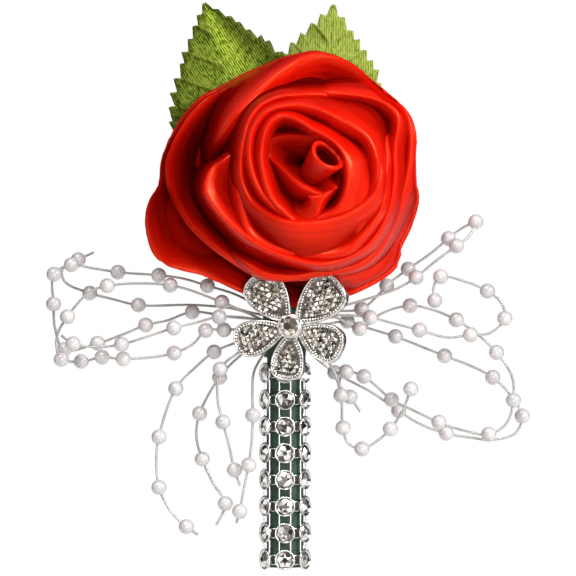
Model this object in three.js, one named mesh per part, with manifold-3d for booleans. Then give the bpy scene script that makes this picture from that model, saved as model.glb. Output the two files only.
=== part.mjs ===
// Satin rose brooch with a rhinestone stem, pearl strands, a small metal flower and a lapel pin.
// Millimetres. +Z is up as worn, +X is to the viewer's right and -Y faces the viewer.
// The origin is the middle of the pin bar's rear face, which lies against the cloth.
import * as THREE from "three";
import { mergeVertices } from "three/addons/utils/BufferGeometryUtils.js";
import Module from "manifold-3d";

const wasm = await Module();
wasm.setup();

// Clearances
const GLUE_GAP = 0.3;
const METAL_GAP = 0.12;

// Pin bar and cloth space
const BAR_LENGTH = 32;
const BAR_WIDTH = 5;
const BAR_THICK = 0.9;
const BAR_TAB_LENGTH = 6;
const BAR_TAB_STEP = 0.4;
const SEWING_HOLE_R = 1.0;
const SEWING_HOLE_SPACING = 12;
const CLOTH_GAP = 4.6;

// Needle and hinge
const NEEDLE_R = 0.45;
const NEEDLE_TAPER = 5;
const NEEDLE_OVERHANG = 1.6;
const EYE_WALL = 0.6;
const EYE_WIDTH = 1.6;
const RIVET_R = 0.55;
const RIVET_HEAD_R = 1.05;
const RIVET_HEAD_THICK = 0.45;
const EAR_THICK = 0.7;
const EAR_HALF_WIDTH = 1.5;
const BRACKET_FLOOR = 0.7;

// Catch
const CATCH_WIDTH = 2.4;
const SLEEVE_CLEAR = 0.3;
const SLEEVE_WALL = 0.5;
const HOUSING_WALL = 0.6;
const HOUSING_FOOT = 3.2;
const LEVER_WIDTH = 0.9;
const LEVER_REACH = 3.3;
const LEVER_THICK = 0.8;
const LEVER_ANGLE = 70;

// Backing, wire and stem
const FELT_R = 14.5;
const FELT_THICK = 1.4;
const WIRE_R = 1.1;
const WIRE_TOP = 0;
const STEM_BOTTOM = -76;
const TAPE_R = 3.55;

// Rhinestone net
const STONE_PITCH = 5.07;
const STONE_COLUMNS = 6;
const STONE_R = 1.75;
const STONE_TABLE_R = 0.95;
const STONE_HEIGHT = 1.25;
const NET_BAR_WIDTH = 0.42;
const NET_BAR_THICK = 0.5;
const NET_BAR_OFFSET = 1.0;
const NET_BITE = 0.35;
const NET_END_MARGIN = 0.4;

// Neck binding
const NECK_TOP = -24.6;
const NECK_BOTTOM = -35.6;
const NECK_R = 4.0;
const NECK_BULGE = 0.4;

// Leaves
const LEAF_THICK = 0.5;
const LEAF_TEETH = 9;
const LEAF_TOOTH_DEPTH = 0.9;
const LEAF_BOW = 2.2;

// Rose
const ROSE_CENTRE_X = 4.75;
const ROSE_CENTRE_Z = 0.4;
const ROSE_ANGLES = 40;
const ROSE_LIP_WIDTH = 0.8;
const ROSE_FOLD_FLOOR = 3.2;
const ROSE_BACK_SHARE = 0.72;
const ROSE_UNDERCUT = 0.24;
const ROSE_LOW_ANGLE = 4.33;
const TUBE_R = 3.0;
const TUBE_WALL = 0.6;
const TUBE_LENGTH = 12;
const TUBE_HOLLOW = 5;

// Metal flower
const FLOWER_X = 1.7;
const FLOWER_Z = -29.6;
const FLOWER_STANDOFF = 4.6;
const FLOWER_SWING = 0.3;
const FLOWER_CUP = 0.1;
const PETALS = [
  { angle: 41, length: 13.0, half: 4.2 },
  { angle: 128, length: 12.2, half: 4.1 },
  { angle: 197, length: 11.8, half: 3.4 },
  { angle: 264, length: 10.5, half: 3.3 },
  { angle: 335, length: 11.2, half: 3.6 },
];
const PETAL_ROOT = 0.6;
const PETAL_THICK = 1.5;
const PETAL_FLOOR = 0.7;
const PETAL_RIM = 0.7;
const BOSS_R = 2.4;
const BOSS_HEIGHT = 2.3;
const BED_THICK = 0.5;
const BED_STONE_PITCH = 1.5;
const BED_STONE_R = 0.68;
const BED_STONE_HEIGHT = 0.62;
const SETTING_R = 2.1;
const SETTING_WALL = 0.4;
const SETTING_HEIGHT = 1.3;
const SETTING_FLOOR = 0.4;
const CENTRE_STONE_HEIGHT = 1.7;
const GLUE_PAD_R = 2.0;
const GLUE_PAD_X = 1.0;

// Pearl strands
const PEARL_R = 1.42;
const LINE_R = 0.3;
const LINE_SIDES = 6;

// Levels in depth, from the cloth to the viewer
const FELT_BACK = -BAR_THICK - GLUE_GAP;
const FELT_FRONT = FELT_BACK - FELT_THICK;
const STEM_Y = FELT_FRONT - GLUE_GAP - WIRE_R;
const ROSE_BACK = STEM_Y - WIRE_R - GLUE_GAP;
const NEEDLE_Y = CLOTH_GAP + NEEDLE_R;
const TAB_FACE = -BAR_TAB_STEP;
const HINGE_X = -BAR_LENGTH / 2 + BAR_TAB_LENGTH / 2 - 0.2;
const CATCH_X = BAR_LENGTH / 2 - BAR_TAB_LENGTH / 2 - 0.4;

// Materials
function finish(color, roughness, metalness) {
  return new THREE.MeshStandardMaterial({ color, roughness, metalness });
}
const SATIN = finish(0xd81408, 0.4, 0);
const LEAF_PALE = finish(0xa3b060, 0.7, 0);
const LEAF_DEEP = finish(0x6f8228, 0.7, 0);
const GREEN_TAPE = finish(0x36412f, 0.7, 0);
const WIRE_STEEL = finish(0x8a8c8e, 0.4, 1);
const NET_SILVER = finish(0xd8dadc, 0.15, 1);
const PEARL = finish(0xe2dcdc, 0.3, 0);
const ALLOY = finish(0xc9c7c2, 0.25, 1);
const CRYSTAL = finish(0xe8e8ec, 0.1, 0);
const FELT = finish(0x7d1414, 0.95, 0);
const GLUE = finish(0xd9d4c4, 0.5, 0);
const PIN_STEEL = finish(0xc4c6c8, 0.25, 1);

const brooch = new THREE.Group();
brooch.name = "satin_rose_brooch";

// Helpers
function solidOf(geometry) {
  const bare = new THREE.BufferGeometry();
  bare.setAttribute("position", geometry.attributes.position.clone());
  if (geometry.index) bare.setIndex(geometry.index.clone());
  const merged = mergeVertices(bare, 1e-4);
  const mesh = new wasm.Mesh({
    numProp: 3,
    vertProperties: new Float32Array(merged.attributes.position.array),
    triVerts: new Uint32Array(merged.index.array),
  });
  return new wasm.Manifold(mesh);
}

function geometryOf(solid) {
  const mesh = solid.getMesh();
  const geometry = new THREE.BufferGeometry();
  geometry.setAttribute("position", new THREE.BufferAttribute(new Float32Array(mesh.vertProperties), 3));
  geometry.setIndex(Array.from(mesh.triVerts));
  geometry.computeVertexNormals();
  return geometry;
}

function union(geometries) {
  return geometryOf(wasm.Manifold.union(geometries.map(solidOf)));
}

function cut(geometry, tools) {
  let solid = solidOf(geometry);
  for (const tool of tools) solid = solid.subtract(solidOf(tool));
  return geometryOf(solid);
}

function add(name, geometry, material, parent = brooch) {
  const mesh = new THREE.Mesh(geometry, material);
  mesh.name = name;
  parent.add(mesh);
  return mesh;
}

function box(width, depth, height, x, y, z) {
  return new THREE.BoxGeometry(width, depth, height).translate(x, y, z);
}

// A shape drawn in X and Z, given depth from the plane y = rear towards the viewer
function plate(shape, rear, thick, curveSegments = 10) {
  const geometry = new THREE.ExtrudeGeometry(shape, { depth: thick, bevelEnabled: false, curveSegments });
  return geometry.rotateX(Math.PI / 2).translate(0, rear, 0);
}

// A shape drawn with its first axis along -Z and its second along Y, given length along X
function barAlongX(shape, left, length) {
  const geometry = new THREE.ExtrudeGeometry(shape, { depth: length, bevelEnabled: false, curveSegments: 8 });
  return geometry.rotateY(Math.PI / 2).translate(left, 0, 0);
}

// A body turned about an upright axis at (x, y), its profile given as [radius, z] pairs
function turned(profile, x, y, segments) {
  const points = profile.map(([r, z]) => new THREE.Vector2(r, z));
  const geometry = new THREE.LatheGeometry(points, segments);
  return geometry.rotateX(Math.PI / 2).translate(x, y, 0);
}

function roundedBar(length, width) {
  const half = length / 2 - width / 2;
  const shape = new THREE.Shape();
  shape.moveTo(-half, -width / 2);
  shape.lineTo(half, -width / 2);
  shape.absarc(half, 0, width / 2, -Math.PI / 2, Math.PI / 2, false);
  shape.lineTo(-half, width / 2);
  shape.absarc(-half, 0, width / 2, Math.PI / 2, Math.PI * 1.5, false);
  return shape;
}

// Pin bar: a strip with a raised middle land that meets the cloth
const tabThick = BAR_THICK - BAR_TAB_STEP;
const landLength = BAR_LENGTH - 2 * BAR_TAB_LENGTH;
const strip = plate(roundedBar(BAR_LENGTH, BAR_WIDTH), TAB_FACE, tabThick, 6);
const land = box(landLength, BAR_THICK, BAR_WIDTH, 0, -BAR_THICK / 2, 0);
const sewingHoles = [-1, 1].map((side) => {
  const hole = new THREE.CylinderGeometry(SEWING_HOLE_R, SEWING_HOLE_R, BAR_THICK * 3, 12);
  return hole.translate((side * SEWING_HOLE_SPACING) / 2, -BAR_THICK / 2, 0);
});
add("pin_bar", cut(union([strip, land]), sewingHoles), PIN_STEEL);

// Hinge bracket: a floor on the tab and two ears with the rivet's hole
const earInner = EYE_WIDTH / 2 + METAL_GAP;
const earOuter = earInner + EAR_THICK;
const bracketBase = TAB_FACE + METAL_GAP;
const rivetHole = new THREE.Path();
rivetHole.absarc(HINGE_X, NEEDLE_Y, RIVET_R + METAL_GAP / 2, 0, Math.PI * 2, true);
const earShape = new THREE.Shape();
earShape.moveTo(HINGE_X - EAR_HALF_WIDTH, bracketBase);
earShape.lineTo(HINGE_X + EAR_HALF_WIDTH, bracketBase);
earShape.lineTo(HINGE_X + EAR_HALF_WIDTH, NEEDLE_Y);
earShape.absarc(HINGE_X, NEEDLE_Y, EAR_HALF_WIDTH, 0, Math.PI, false);
earShape.holes.push(rivetHole);
const ears = [-earOuter, earInner].map((z) => {
  const earOptions = { depth: EAR_THICK, bevelEnabled: false, curveSegments: 7 };
  const ear = new THREE.ExtrudeGeometry(earShape, earOptions);
  return ear.translate(0, 0, z);
});
const bracketFloor = box(
  2 * EAR_HALF_WIDTH, BRACKET_FLOOR, 2 * earInner + 0.2,
  HINGE_X, bracketBase + BRACKET_FLOOR / 2, 0,
);
add("hinge_bracket", union([...ears, bracketFloor]), PIN_STEEL);

// Hinge rivet with a head outside each ear
const headStart = earOuter + METAL_GAP;
const headEnd = headStart + RIVET_HEAD_THICK;
const rivetProfile = [
  [0, -headEnd], [RIVET_HEAD_R, -headEnd], [RIVET_HEAD_R, -headStart], [RIVET_R, -headStart],
  [RIVET_R, headStart], [RIVET_HEAD_R, headStart], [RIVET_HEAD_R, headEnd], [0, headEnd],
];
add("hinge_rivet", turned(rivetProfile, HINGE_X, NEEDLE_Y, 12), PIN_STEEL);

// Needle: an eye on the rivet and a long tapered wire through the catch
const eyeInner = RIVET_R + METAL_GAP / 2;
const eyeOuter = eyeInner + EYE_WALL;
const eyeProfile = [
  [eyeInner, -EYE_WIDTH / 2], [eyeOuter, -EYE_WIDTH / 2], [eyeOuter, EYE_WIDTH / 2],
  [eyeInner, EYE_WIDTH / 2], [eyeInner, -EYE_WIDTH / 2],
];
const eye = turned(eyeProfile, HINGE_X, NEEDLE_Y, 14);
const needleTip = CATCH_X + CATCH_WIDTH / 2 + LEVER_WIDTH + METAL_GAP + NEEDLE_OVERHANG;
const shaftStart = HINGE_X + eyeInner + EYE_WALL * 0.4;
const shaftProfile = [
  [0, shaftStart], [NEEDLE_R, shaftStart], [NEEDLE_R, needleTip - NEEDLE_TAPER],
  [NEEDLE_R * 0.55, needleTip - NEEDLE_TAPER * 0.3], [0, needleTip],
];
const shaftPoints = shaftProfile.map(([r, x]) => new THREE.Vector2(r, x));
const shaft = new THREE.LatheGeometry(shaftPoints, 10).rotateZ(-Math.PI / 2).translate(0, NEEDLE_Y, 0);
add("pin_needle", union([eye, shaft]), PIN_STEEL);

// An open ring about the needle with a slot towards +Y
function slottedRing(inner, outer, halfSlot) {
  const innerAngle = Math.acos(Math.min(1, halfSlot / inner));
  const outerAngle = Math.acos(Math.min(1, halfSlot / outer));
  const shape = new THREE.Shape();
  shape.absarc(0, NEEDLE_Y, outer, Math.PI - outerAngle, Math.PI * 2 + outerAngle, false);
  shape.absarc(0, NEEDLE_Y, inner, innerAngle, Math.PI - innerAngle, true);
  return shape;
}

// Catch housing on its foot
const sleeveInner = NEEDLE_R + SLEEVE_CLEAR;
const sleeveOuter = sleeveInner + SLEEVE_WALL;
const housingInner = sleeveOuter + METAL_GAP;
const housingOuter = housingInner + HOUSING_WALL;
const housingLeft = CATCH_X - CATCH_WIDTH / 2;
const housingRing = barAlongX(slottedRing(housingInner, housingOuter, sleeveInner), housingLeft, CATCH_WIDTH);
const footTop = NEEDLE_Y - housingInner - HOUSING_WALL / 2;
const foot = box(
  CATCH_WIDTH, footTop - bracketBase, HOUSING_FOOT,
  CATCH_X, (footTop + bracketBase) / 2, 0,
);
add("catch_housing", union([housingRing, foot]), PIN_STEEL);

// Turning catch sleeve with its finger lever outside the housing
const sleeveLength = CATCH_WIDTH + METAL_GAP + LEVER_WIDTH;
const sleeveRing = slottedRing(sleeveInner, sleeveOuter, sleeveInner * 0.98);
const sleeveTube = barAlongX(sleeveRing, housingLeft, sleeveLength);
const leverStart = (sleeveInner + sleeveOuter) / 2;
const leverMid = (leverStart + LEVER_REACH) / 2;
const lever = new THREE.BoxGeometry(LEVER_WIDTH, LEVER_REACH - leverStart, LEVER_THICK);
lever.translate(0, leverMid, 0).rotateX(-THREE.MathUtils.degToRad(LEVER_ANGLE));
lever.translate(housingLeft + sleeveLength - LEVER_WIDTH / 2, NEEDLE_Y, 0);
add("catch_sleeve", union([sleeveTube, lever]), PIN_STEEL);

// Felt backing disc
const felt = new THREE.CylinderGeometry(FELT_R, FELT_R, FELT_THICK, 28);
add("felt_backing", felt.translate(0, FELT_BACK - FELT_THICK / 2, 0), FELT);

// Stem wire and the tape wound on it
const wireProfile = [[0, STEM_BOTTOM], [WIRE_R, STEM_BOTTOM], [WIRE_R, WIRE_TOP], [0, WIRE_TOP]];
add("stem_wire", turned(wireProfile, 0, STEM_Y, 12), WIRE_STEEL);
const wrapBore = WIRE_R + GLUE_GAP;
const tapeTop = NECK_BOTTOM - GLUE_GAP;
const tapeBottom = STEM_BOTTOM + NET_END_MARGIN;
const tapeProfile = [
  [wrapBore, tapeBottom], [TAPE_R, tapeBottom], [TAPE_R, tapeTop],
  [wrapBore, tapeTop], [wrapBore, tapeBottom],
];
add("stem_tape", turned(tapeProfile, 0, STEM_Y, 18), GREEN_TAPE);

// Rhinestone net: rows of faceted stones, a pair of bars down each column and links across
const netInner = TAPE_R + GLUE_GAP;
const netBottom = STEM_BOTTOM + NET_END_MARGIN;
const netTop = tapeTop - NET_END_MARGIN;
const stoneRows = Math.floor((netTop - netBottom - 2 * STONE_R) / STONE_PITCH) + 1;
const stoneFlat = STONE_R * Math.cos(Math.PI / 6);
const firstRow = netBottom + stoneFlat;
const columnAngle = (Math.PI * 2) / STONE_COLUMNS;
const barY = -netInner - 0.05 - NET_BAR_THICK / 2;
const barLength = STONE_PITCH - 2 * stoneFlat + 2 * NET_BITE;
const linkY = -Math.hypot(netInner, STONE_R) - 0.05;
const linkHalfGap = Math.sin(columnAngle / 2 - Math.atan2(STONE_R, netInner)) * Math.hypot(netInner, STONE_R);
const netParts = [];
for (let column = 0; column < STONE_COLUMNS; column += 1) {
  const pieces = [];
  for (let row = 0; row < stoneRows; row += 1) {
    const z = firstRow + row * STONE_PITCH;
    const stone = new THREE.CylinderGeometry(STONE_R, STONE_TABLE_R, STONE_HEIGHT, 6).rotateY(Math.PI / 6);
    pieces.push(stone.translate(0, -netInner - STONE_HEIGHT / 2, z));
    const link = box(2 * (linkHalfGap + NET_BITE), NET_BAR_THICK * 0.8, NET_BAR_WIDTH, 0, linkY, z);
    pieces.push(link.rotateZ(columnAngle / 2));
    if (row + 1 === stoneRows) continue;
    for (const side of [-1, 1]) {
      const barX = side * NET_BAR_OFFSET;
      const bar = box(NET_BAR_WIDTH, NET_BAR_THICK, barLength, barX, barY, z + STONE_PITCH / 2);
      pieces.push(bar);
    }
  }
  for (const piece of pieces) netParts.push(piece.rotateZ(column * columnAngle).translate(0, STEM_Y, 0));
}
add("rhinestone_sleeve", union(netParts), NET_SILVER);

// Neck binding, a barrel of wound tape
function neckRadius(z) {
  return NECK_R + NECK_BULGE * Math.sin((Math.PI * (z - NECK_BOTTOM)) / (NECK_TOP - NECK_BOTTOM));
}
function neckProfile(grow) {
  const profile = [[wrapBore, NECK_BOTTOM]];
  for (let i = 0; i <= 6; i += 1) {
    const z = NECK_BOTTOM + ((NECK_TOP - NECK_BOTTOM) * i) / 6;
    profile.push([neckRadius(z) + grow, z]);
  }
  profile.push([wrapBore, NECK_TOP], [wrapBore, NECK_BOTTOM]);
  return profile;
}
add("neck_binding", turned(neckProfile(0), 0, STEM_Y, 20), GREEN_TAPE);

// Leaves: two halves with saw teeth that point to the tip. The folds tell how far back the cloth lies at
// the left edge, the middle of the left half, the midrib, the middle of the right half and the right edge.
const LEAF_COLUMNS = [-1, -0.5, 0, 0.5, 1];
function leafGeometry({ tip, base, halfWidth, folds, front }) {
  const along = new THREE.Vector2(base[0] - tip[0], base[1] - tip[1]);
  const length = along.length();
  along.normalize();
  const across = new THREE.Vector2(-along.y, along.x);
  const stations = LEAF_TEETH * 2;
  const rows = [];
  for (let i = 0; i <= stations; i += 1) {
    const share = 0.02 + (0.96 * i) / stations;
    const notch = i % 2 === 0 ? LEAF_TOOTH_DEPTH : 0;
    const rise = halfWidth * Math.sin(Math.PI * share ** 1.15);
    const half = Math.max(0.5, rise - notch * Math.min(1, rise / 3));
    const slip = i % 2 === 0 ? 0 : -0.35 * (length / stations);
    const bow = LEAF_BOW * Math.max(0, 0.55 - share) ** 2 * 4;
    const spread = Math.min(1, half / (0.5 * halfWidth));
    rows.push(LEAF_COLUMNS.map((side, k) => {
      const reach = share * length + slip * Math.abs(side);
      const x = tip[0] + along.x * reach + across.x * half * side;
      const z = tip[1] + along.y * reach + across.y * half * side;
      const y = front + bow + folds[k] * spread;
      return [x, y, z];
    }));
  }
  const positions = [];
  for (const row of rows) for (const [x, y, z] of row) positions.push(x, y, z);
  for (const row of rows) for (const [x, y, z] of row) positions.push(x, y + LEAF_THICK, z);
  const wide = LEAF_COLUMNS.length;
  const count = rows.length * wide;
  const index = [];
  const quad = (a, b, c, d) => index.push(a, b, c, a, c, d);
  for (let i = 0; i < stations; i += 1) {
    const a = i * wide;
    const b = a + wide;
    for (let j = 0; j < wide - 1; j += 1) {
      quad(a + j, b + j, b + j + 1, a + j + 1);
      quad(count + a + j, count + a + j + 1, count + b + j + 1, count + b + j);
    }
    quad(a, count + a, count + b, b);
    const c = a + wide - 1;
    const d = b + wide - 1;
    quad(c, d, count + d, count + c);
  }
  const last = stations * wide;
  for (let j = 0; j < wide - 1; j += 1) {
    quad(j, j + 1, count + j + 1, count + j);
    quad(last + j, count + last + j, count + last + j + 1, last + j + 1);
  }
  const geometry = new THREE.BufferGeometry();
  geometry.setAttribute("position", new THREE.Float32BufferAttribute(positions, 3));
  geometry.setIndex(index);
  geometry.computeVertexNormals();
  return geometry;
}
const leafFront = ROSE_BACK + GLUE_GAP;
const leftLeaf = { tip: [-15.4, 31.9], base: [-4.5, 1.2], halfWidth: 13.0, folds: [1.9, 1.1, 0.4, 0.6, 0.1] };
const rightLeaf = { tip: [9.3, 31.4], base: [6.0, 1.2], halfWidth: 12.4, folds: [0.1, 0.0, 0.0, 0.0, 0.6] };
const secondLeafFront = leafFront + Math.max(...leftLeaf.folds.slice(2)) + LEAF_THICK + GLUE_GAP;
add("leaf_left", leafGeometry({ ...leftLeaf, front: leafFront }), LEAF_DEEP);
add("leaf_right", leafGeometry({ ...rightLeaf, front: secondLeafFront }), LEAF_PALE);

// Rose: lips of the folded ribbon, each by its reach from the centre and its rise off the back in eight
// directions (right, upper right, up, upper left, left, lower left, down, lower right), and by its fall
// into the crease inside it. The outer edge stands off the back most where the strands leave.
const LIPS = [
  {
    reach: [6.5, 5.9, 5.7, 7.8, 6.5, 4.6, 4.8, 5.8],
    rise: [17.5, 17.5, 17.5, 17.0, 18.0, 18.5, 18.5, 18.5], fall: 5.5,
  },
  {
    reach: [7.6, 7.2, 8.0, 10.6, 9.3, 9.3, 9.6, 8.7],
    rise: [19.0, 18.5, 19.0, 19.0, 19.0, 18.5, 17.5, 18.5], fall: 5.5,
  },
  {
    reach: [12.5, 11.0, 11.2, 13.0, 11.6, 11.0, 10.8, 11.8],
    rise: [17.5, 17.5, 18.0, 18.5, 18.5, 18.0, 18.5, 18.5], fall: 5.0,
  },
  {
    reach: [14.3, 14.8, 13.5, 14.8, 13.5, 15.8, 16.3, 16.0],
    rise: [16.5, 15.5, 16.5, 16.5, 16.5, 16.0, 16.0, 17.0], fall: 4.0,
  },
  {
    reach: [16.1, 18.6, 16.2, 16.3, 18.6, 17.7, 18.3, 17.9],
    rise: [15.0, 14.0, 14.0, 13.0, 14.5, 15.5, 16.0, 15.5], fall: 6.0,
  },
  {
    reach: [18.6, 20.2, 20.2, 18.4, 22.0, 21.4, 20.3, 19.7],
    rise: [11.5, 10.5, 10.0, 11.5, 5.5, 9.5, 13.5, 12.5], fall: 4.5,
  },
  {
    reach: [19.6, 21.3, 21.6, 21.8, 27.6, 24.4, 21.1, 21.2],
    rise: [8.0, 6.5, 5.5, 6.0, 8.5, 9.5, 11.5, 9.0], fall: 3.5,
  },
];
const OUTLINE = { reach: [20.8, 22.2, 22.4, 23.0, 30.0, 29.6, 21.6, 24.2], rise: 4.0, low: 7.0 };

function around(values, angle) {
  const place = (((angle / (Math.PI * 2)) % 1) + 1) % 1 * values.length;
  const i = Math.floor(place);
  const f = place - i;
  const [p, a, b, n] = [-1, 0, 1, 2].map((k) => values[(i + k + values.length) % values.length]);
  return a + 0.5 * f * (b - p + f * (2 * p - 5 * a + 4 * b - n + f * (3 * (a - b) + n - p)));
}

function roseGeometry() {
  const rings = [];
  for (let j = 0; j < ROSE_ANGLES; j += 1) {
    const angle = (j / ROSE_ANGLES) * Math.PI * 2;
    const low = Math.max(0, Math.cos(angle - ROSE_LOW_ANGLE)) ** 8;
    const stops = [];
    let before = 1.2;
    LIPS.forEach((lip, k) => {
      const here = around(lip.reach, angle);
      const next = around(k + 1 < LIPS.length ? LIPS[k + 1].reach : OUTLINE.reach, angle);
      const lipWidth = Math.min(ROSE_LIP_WIDTH, 0.4 * (here - before));
      const rise = around(lip.rise, angle);
      stops.push([here - lipWidth, Math.max(ROSE_FOLD_FLOOR, rise - lip.fall)]);
      stops.push([here, rise]);
      stops.push([here + 0.4 * (next - here), rise - 0.3 * lip.fall]);
      before = here + 0.4 * (next - here);
    });
    const edge = around(OUTLINE.reach, angle);
    stops.push([edge, OUTLINE.rise + OUTLINE.low * low]);
    stops.push([edge * (ROSE_BACK_SHARE - ROSE_UNDERCUT * low), 0]);
    rings.push(stops.map(([reach, rise]) => [
      ROSE_CENTRE_X + reach * Math.cos(angle), ROSE_BACK - rise, ROSE_CENTRE_Z + reach * Math.sin(angle),
    ]));
  }
  const steps = rings[0].length;
  const positions = rings.flat(2);
  const centreFront = positions.length / 3;
  positions.push(ROSE_CENTRE_X, ROSE_BACK - LIPS[0].rise[0] + LIPS[0].fall + 1, ROSE_CENTRE_Z);
  positions.push(ROSE_CENTRE_X, ROSE_BACK, ROSE_CENTRE_Z);
  const index = [];
  for (let j = 0; j < ROSE_ANGLES; j += 1) {
    const a = j * steps;
    const b = ((j + 1) % ROSE_ANGLES) * steps;
    index.push(centreFront, a, b);
    for (let i = 0; i + 1 < steps; i += 1) {
      index.push(a + i, a + i + 1, b + i + 1);
      index.push(a + i, b + i + 1, b + i);
    }
    index.push(centreFront + 1, b + steps - 1, a + steps - 1);
  }
  const geometry = new THREE.BufferGeometry();
  geometry.setAttribute("position", new THREE.Float32BufferAttribute(positions, 3));
  geometry.setIndex(index);
  return geometry;
}

// The rolled tube at the heart leans to the upper right, open at its end
const tubeProfile = [
  [0, -TUBE_LENGTH], [TUBE_R * 0.8, -TUBE_LENGTH], [TUBE_R, 0], [TUBE_R - TUBE_WALL, 0],
  [TUBE_R - TUBE_WALL * 1.6, -TUBE_HOLLOW], [0, -TUBE_HOLLOW],
];
const tube = new THREE.LatheGeometry(tubeProfile.map(([r, y]) => new THREE.Vector2(r, y)), 14);
const tubeMouth = new THREE.Vector3(ROSE_CENTRE_X + 3.2, ROSE_BACK - 18.6, ROSE_CENTRE_Z + 2.1);
const tubeLean = new THREE.Vector3(0.6, -0.58, 0.55).normalize();
const upright = new THREE.Vector3(0, 1, 0);
tube.applyQuaternion(new THREE.Quaternion().setFromUnitVectors(upright, tubeLean));
tube.translate(tubeMouth.x, tubeMouth.y, tubeMouth.z);

// Metal flower, drawn facing +Z with a petal along +Y, then turned to the viewer
const flower = new THREE.Group();
const flowerY = STEM_Y - NECK_R - NECK_BULGE - FLOWER_STANDOFF;
const faceViewer = new THREE.Matrix4().makeRotationX(Math.PI / 2);
const swing = new THREE.Matrix4().makeRotationZ(-FLOWER_SWING);
const toPlace = new THREE.Matrix4().makeTranslation(FLOWER_X, flowerY, FLOWER_Z);
const flowerMatrix = toPlace.multiply(swing).multiply(faceViewer);

function petalShape(start, tip, half) {
  const wide = start + (tip - start) * 0.7;
  const shape = new THREE.Shape();
  shape.moveTo(0, start);
  const waist = start + (wide - start) * 0.2;
  const swell = start + (wide - start) * 0.6;
  shape.bezierCurveTo(half * 0.4, waist, half, swell, half, wide);
  shape.bezierCurveTo(half, wide + (tip - wide) * 0.7, half * 0.7, tip, 0, tip);
  shape.bezierCurveTo(-half * 0.7, tip, -half, wide + (tip - wide) * 0.7, -half, wide);
  shape.bezierCurveTo(-half, swell, -half * 0.4, waist, 0, start);
  return shape;
}
function petalSolid(shape, thick, lift) {
  const geometry = new THREE.ExtrudeGeometry(shape, { depth: thick, bevelEnabled: false, curveSegments: 4 });
  return geometry.translate(0, 0, lift);
}
function petalPlacing(petal) {
  const turn = THREE.MathUtils.degToRad(petal.angle - 90);
  return new THREE.Matrix4().makeRotationZ(turn).multiply(new THREE.Matrix4().makeRotationX(FLOWER_CUP));
}

const trayStart = BOSS_R + 1.2;
const frameParts = [new THREE.CylinderGeometry(BOSS_R, BOSS_R, BOSS_HEIGHT, 12)];
frameParts[0].rotateX(Math.PI / 2).translate(0, 0, BOSS_HEIGHT / 2);
for (const petal of PETALS) {
  const outer = petalSolid(petalShape(PETAL_ROOT, petal.length, petal.half), PETAL_THICK, 0);
  const trayShape = petalShape(trayStart, petal.length - PETAL_RIM, petal.half - PETAL_RIM);
  const tray = petalSolid(trayShape, PETAL_THICK, PETAL_FLOOR);
  frameParts.push(cut(outer, [tray]).applyMatrix4(petalPlacing(petal)));
}
const flowerFrame = union(frameParts).applyMatrix4(flowerMatrix);
add("flower_frame", flowerFrame, ALLOY, flower);

// The soft rose gives way where a petal of the metal flower is pushed under it
const roomThick = PETAL_THICK + BED_STONE_HEIGHT + 2 * GLUE_GAP;
const petalRooms = PETALS.map((petal) => {
  const roomShape = petalShape(PETAL_ROOT, petal.length + GLUE_GAP, petal.half + GLUE_GAP);
  const room = petalSolid(roomShape, roomThick, -GLUE_GAP);
  return room.applyMatrix4(petalPlacing(petal)).applyMatrix4(flowerMatrix);
});
add("rose_ribbon", cut(union([roseGeometry(), tube]), petalRooms), SATIN);

// Stone beds: a slab in each tray with rows of faceted points
PETALS.forEach((petal, i) => {
  const start = trayStart + METAL_GAP * 2.5;
  const tip = petal.length - PETAL_RIM - METAL_GAP * 1.5;
  const half = petal.half - PETAL_RIM - METAL_GAP * 1.5;
  const bedShape = petalShape(start, tip, half);
  const lift = PETAL_FLOOR + METAL_GAP;
  const parts = [petalSolid(bedShape, BED_THICK, lift)];
  const edge = bedShape.getPoints(6);
  const rowPitch = BED_STONE_PITCH * 0.87;
  const rows = Math.floor((tip - start) / rowPitch);
  for (let row = 0; row < rows; row += 1) {
    const y = tip - BED_STONE_R - 0.15 - row * rowPitch;
    const shift = row % 2 === 0 ? 0 : BED_STONE_PITCH / 2;
    for (let x = -half + shift - (half % BED_STONE_PITCH); x < half; x += BED_STONE_PITCH) {
      const clear = edge.every((p) => Math.hypot(p.x - x, p.y - y) > BED_STONE_R * 0.9);
      const width = half * Math.sin(Math.PI * Math.min(1, (y - start) / (tip - start)) ** 1.2);
      if (!clear || Math.abs(x) + BED_STONE_R * 0.8 > width) continue;
      const stone = new THREE.ConeGeometry(BED_STONE_R, BED_STONE_HEIGHT, 6);
      parts.push(stone.rotateX(Math.PI / 2).translate(x, y, lift + BED_THICK + BED_STONE_HEIGHT / 2 - 0.1));
    }
  }
  const bed = union(parts).applyMatrix4(petalPlacing(petal)).applyMatrix4(flowerMatrix);
  add(`stone_bed_${i + 1}`, bed, CRYSTAL, flower);
});

// Centre setting on the boss and its round stone
const settingBase = BOSS_HEIGHT + METAL_GAP;
const settingProfile = [
  [0, settingBase], [SETTING_R * 0.85, settingBase], [SETTING_R, settingBase + SETTING_HEIGHT],
  [SETTING_R - SETTING_WALL, settingBase + SETTING_HEIGHT],
  [SETTING_R * 0.85 - SETTING_WALL, settingBase + SETTING_FLOOR], [0, settingBase + SETTING_FLOOR],
];
const setting = turned(settingProfile, 0, 0, 14).applyMatrix4(flowerMatrix);
add("centre_setting", setting, ALLOY, flower);
const stoneBase = settingBase + SETTING_FLOOR + METAL_GAP;
const stoneFoot = SETTING_R * 0.85 - SETTING_WALL - METAL_GAP * 1.5;
const stoneProfile = [
  [0, stoneBase], [stoneFoot * 0.9, stoneBase], [stoneFoot, stoneBase + CENTRE_STONE_HEIGHT * 0.45],
  [stoneFoot * 0.6, stoneBase + CENTRE_STONE_HEIGHT], [0, stoneBase + CENTRE_STONE_HEIGHT],
];
const centreStone = turned(stoneProfile, 0, 0, 8).applyMatrix4(flowerMatrix);
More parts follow.
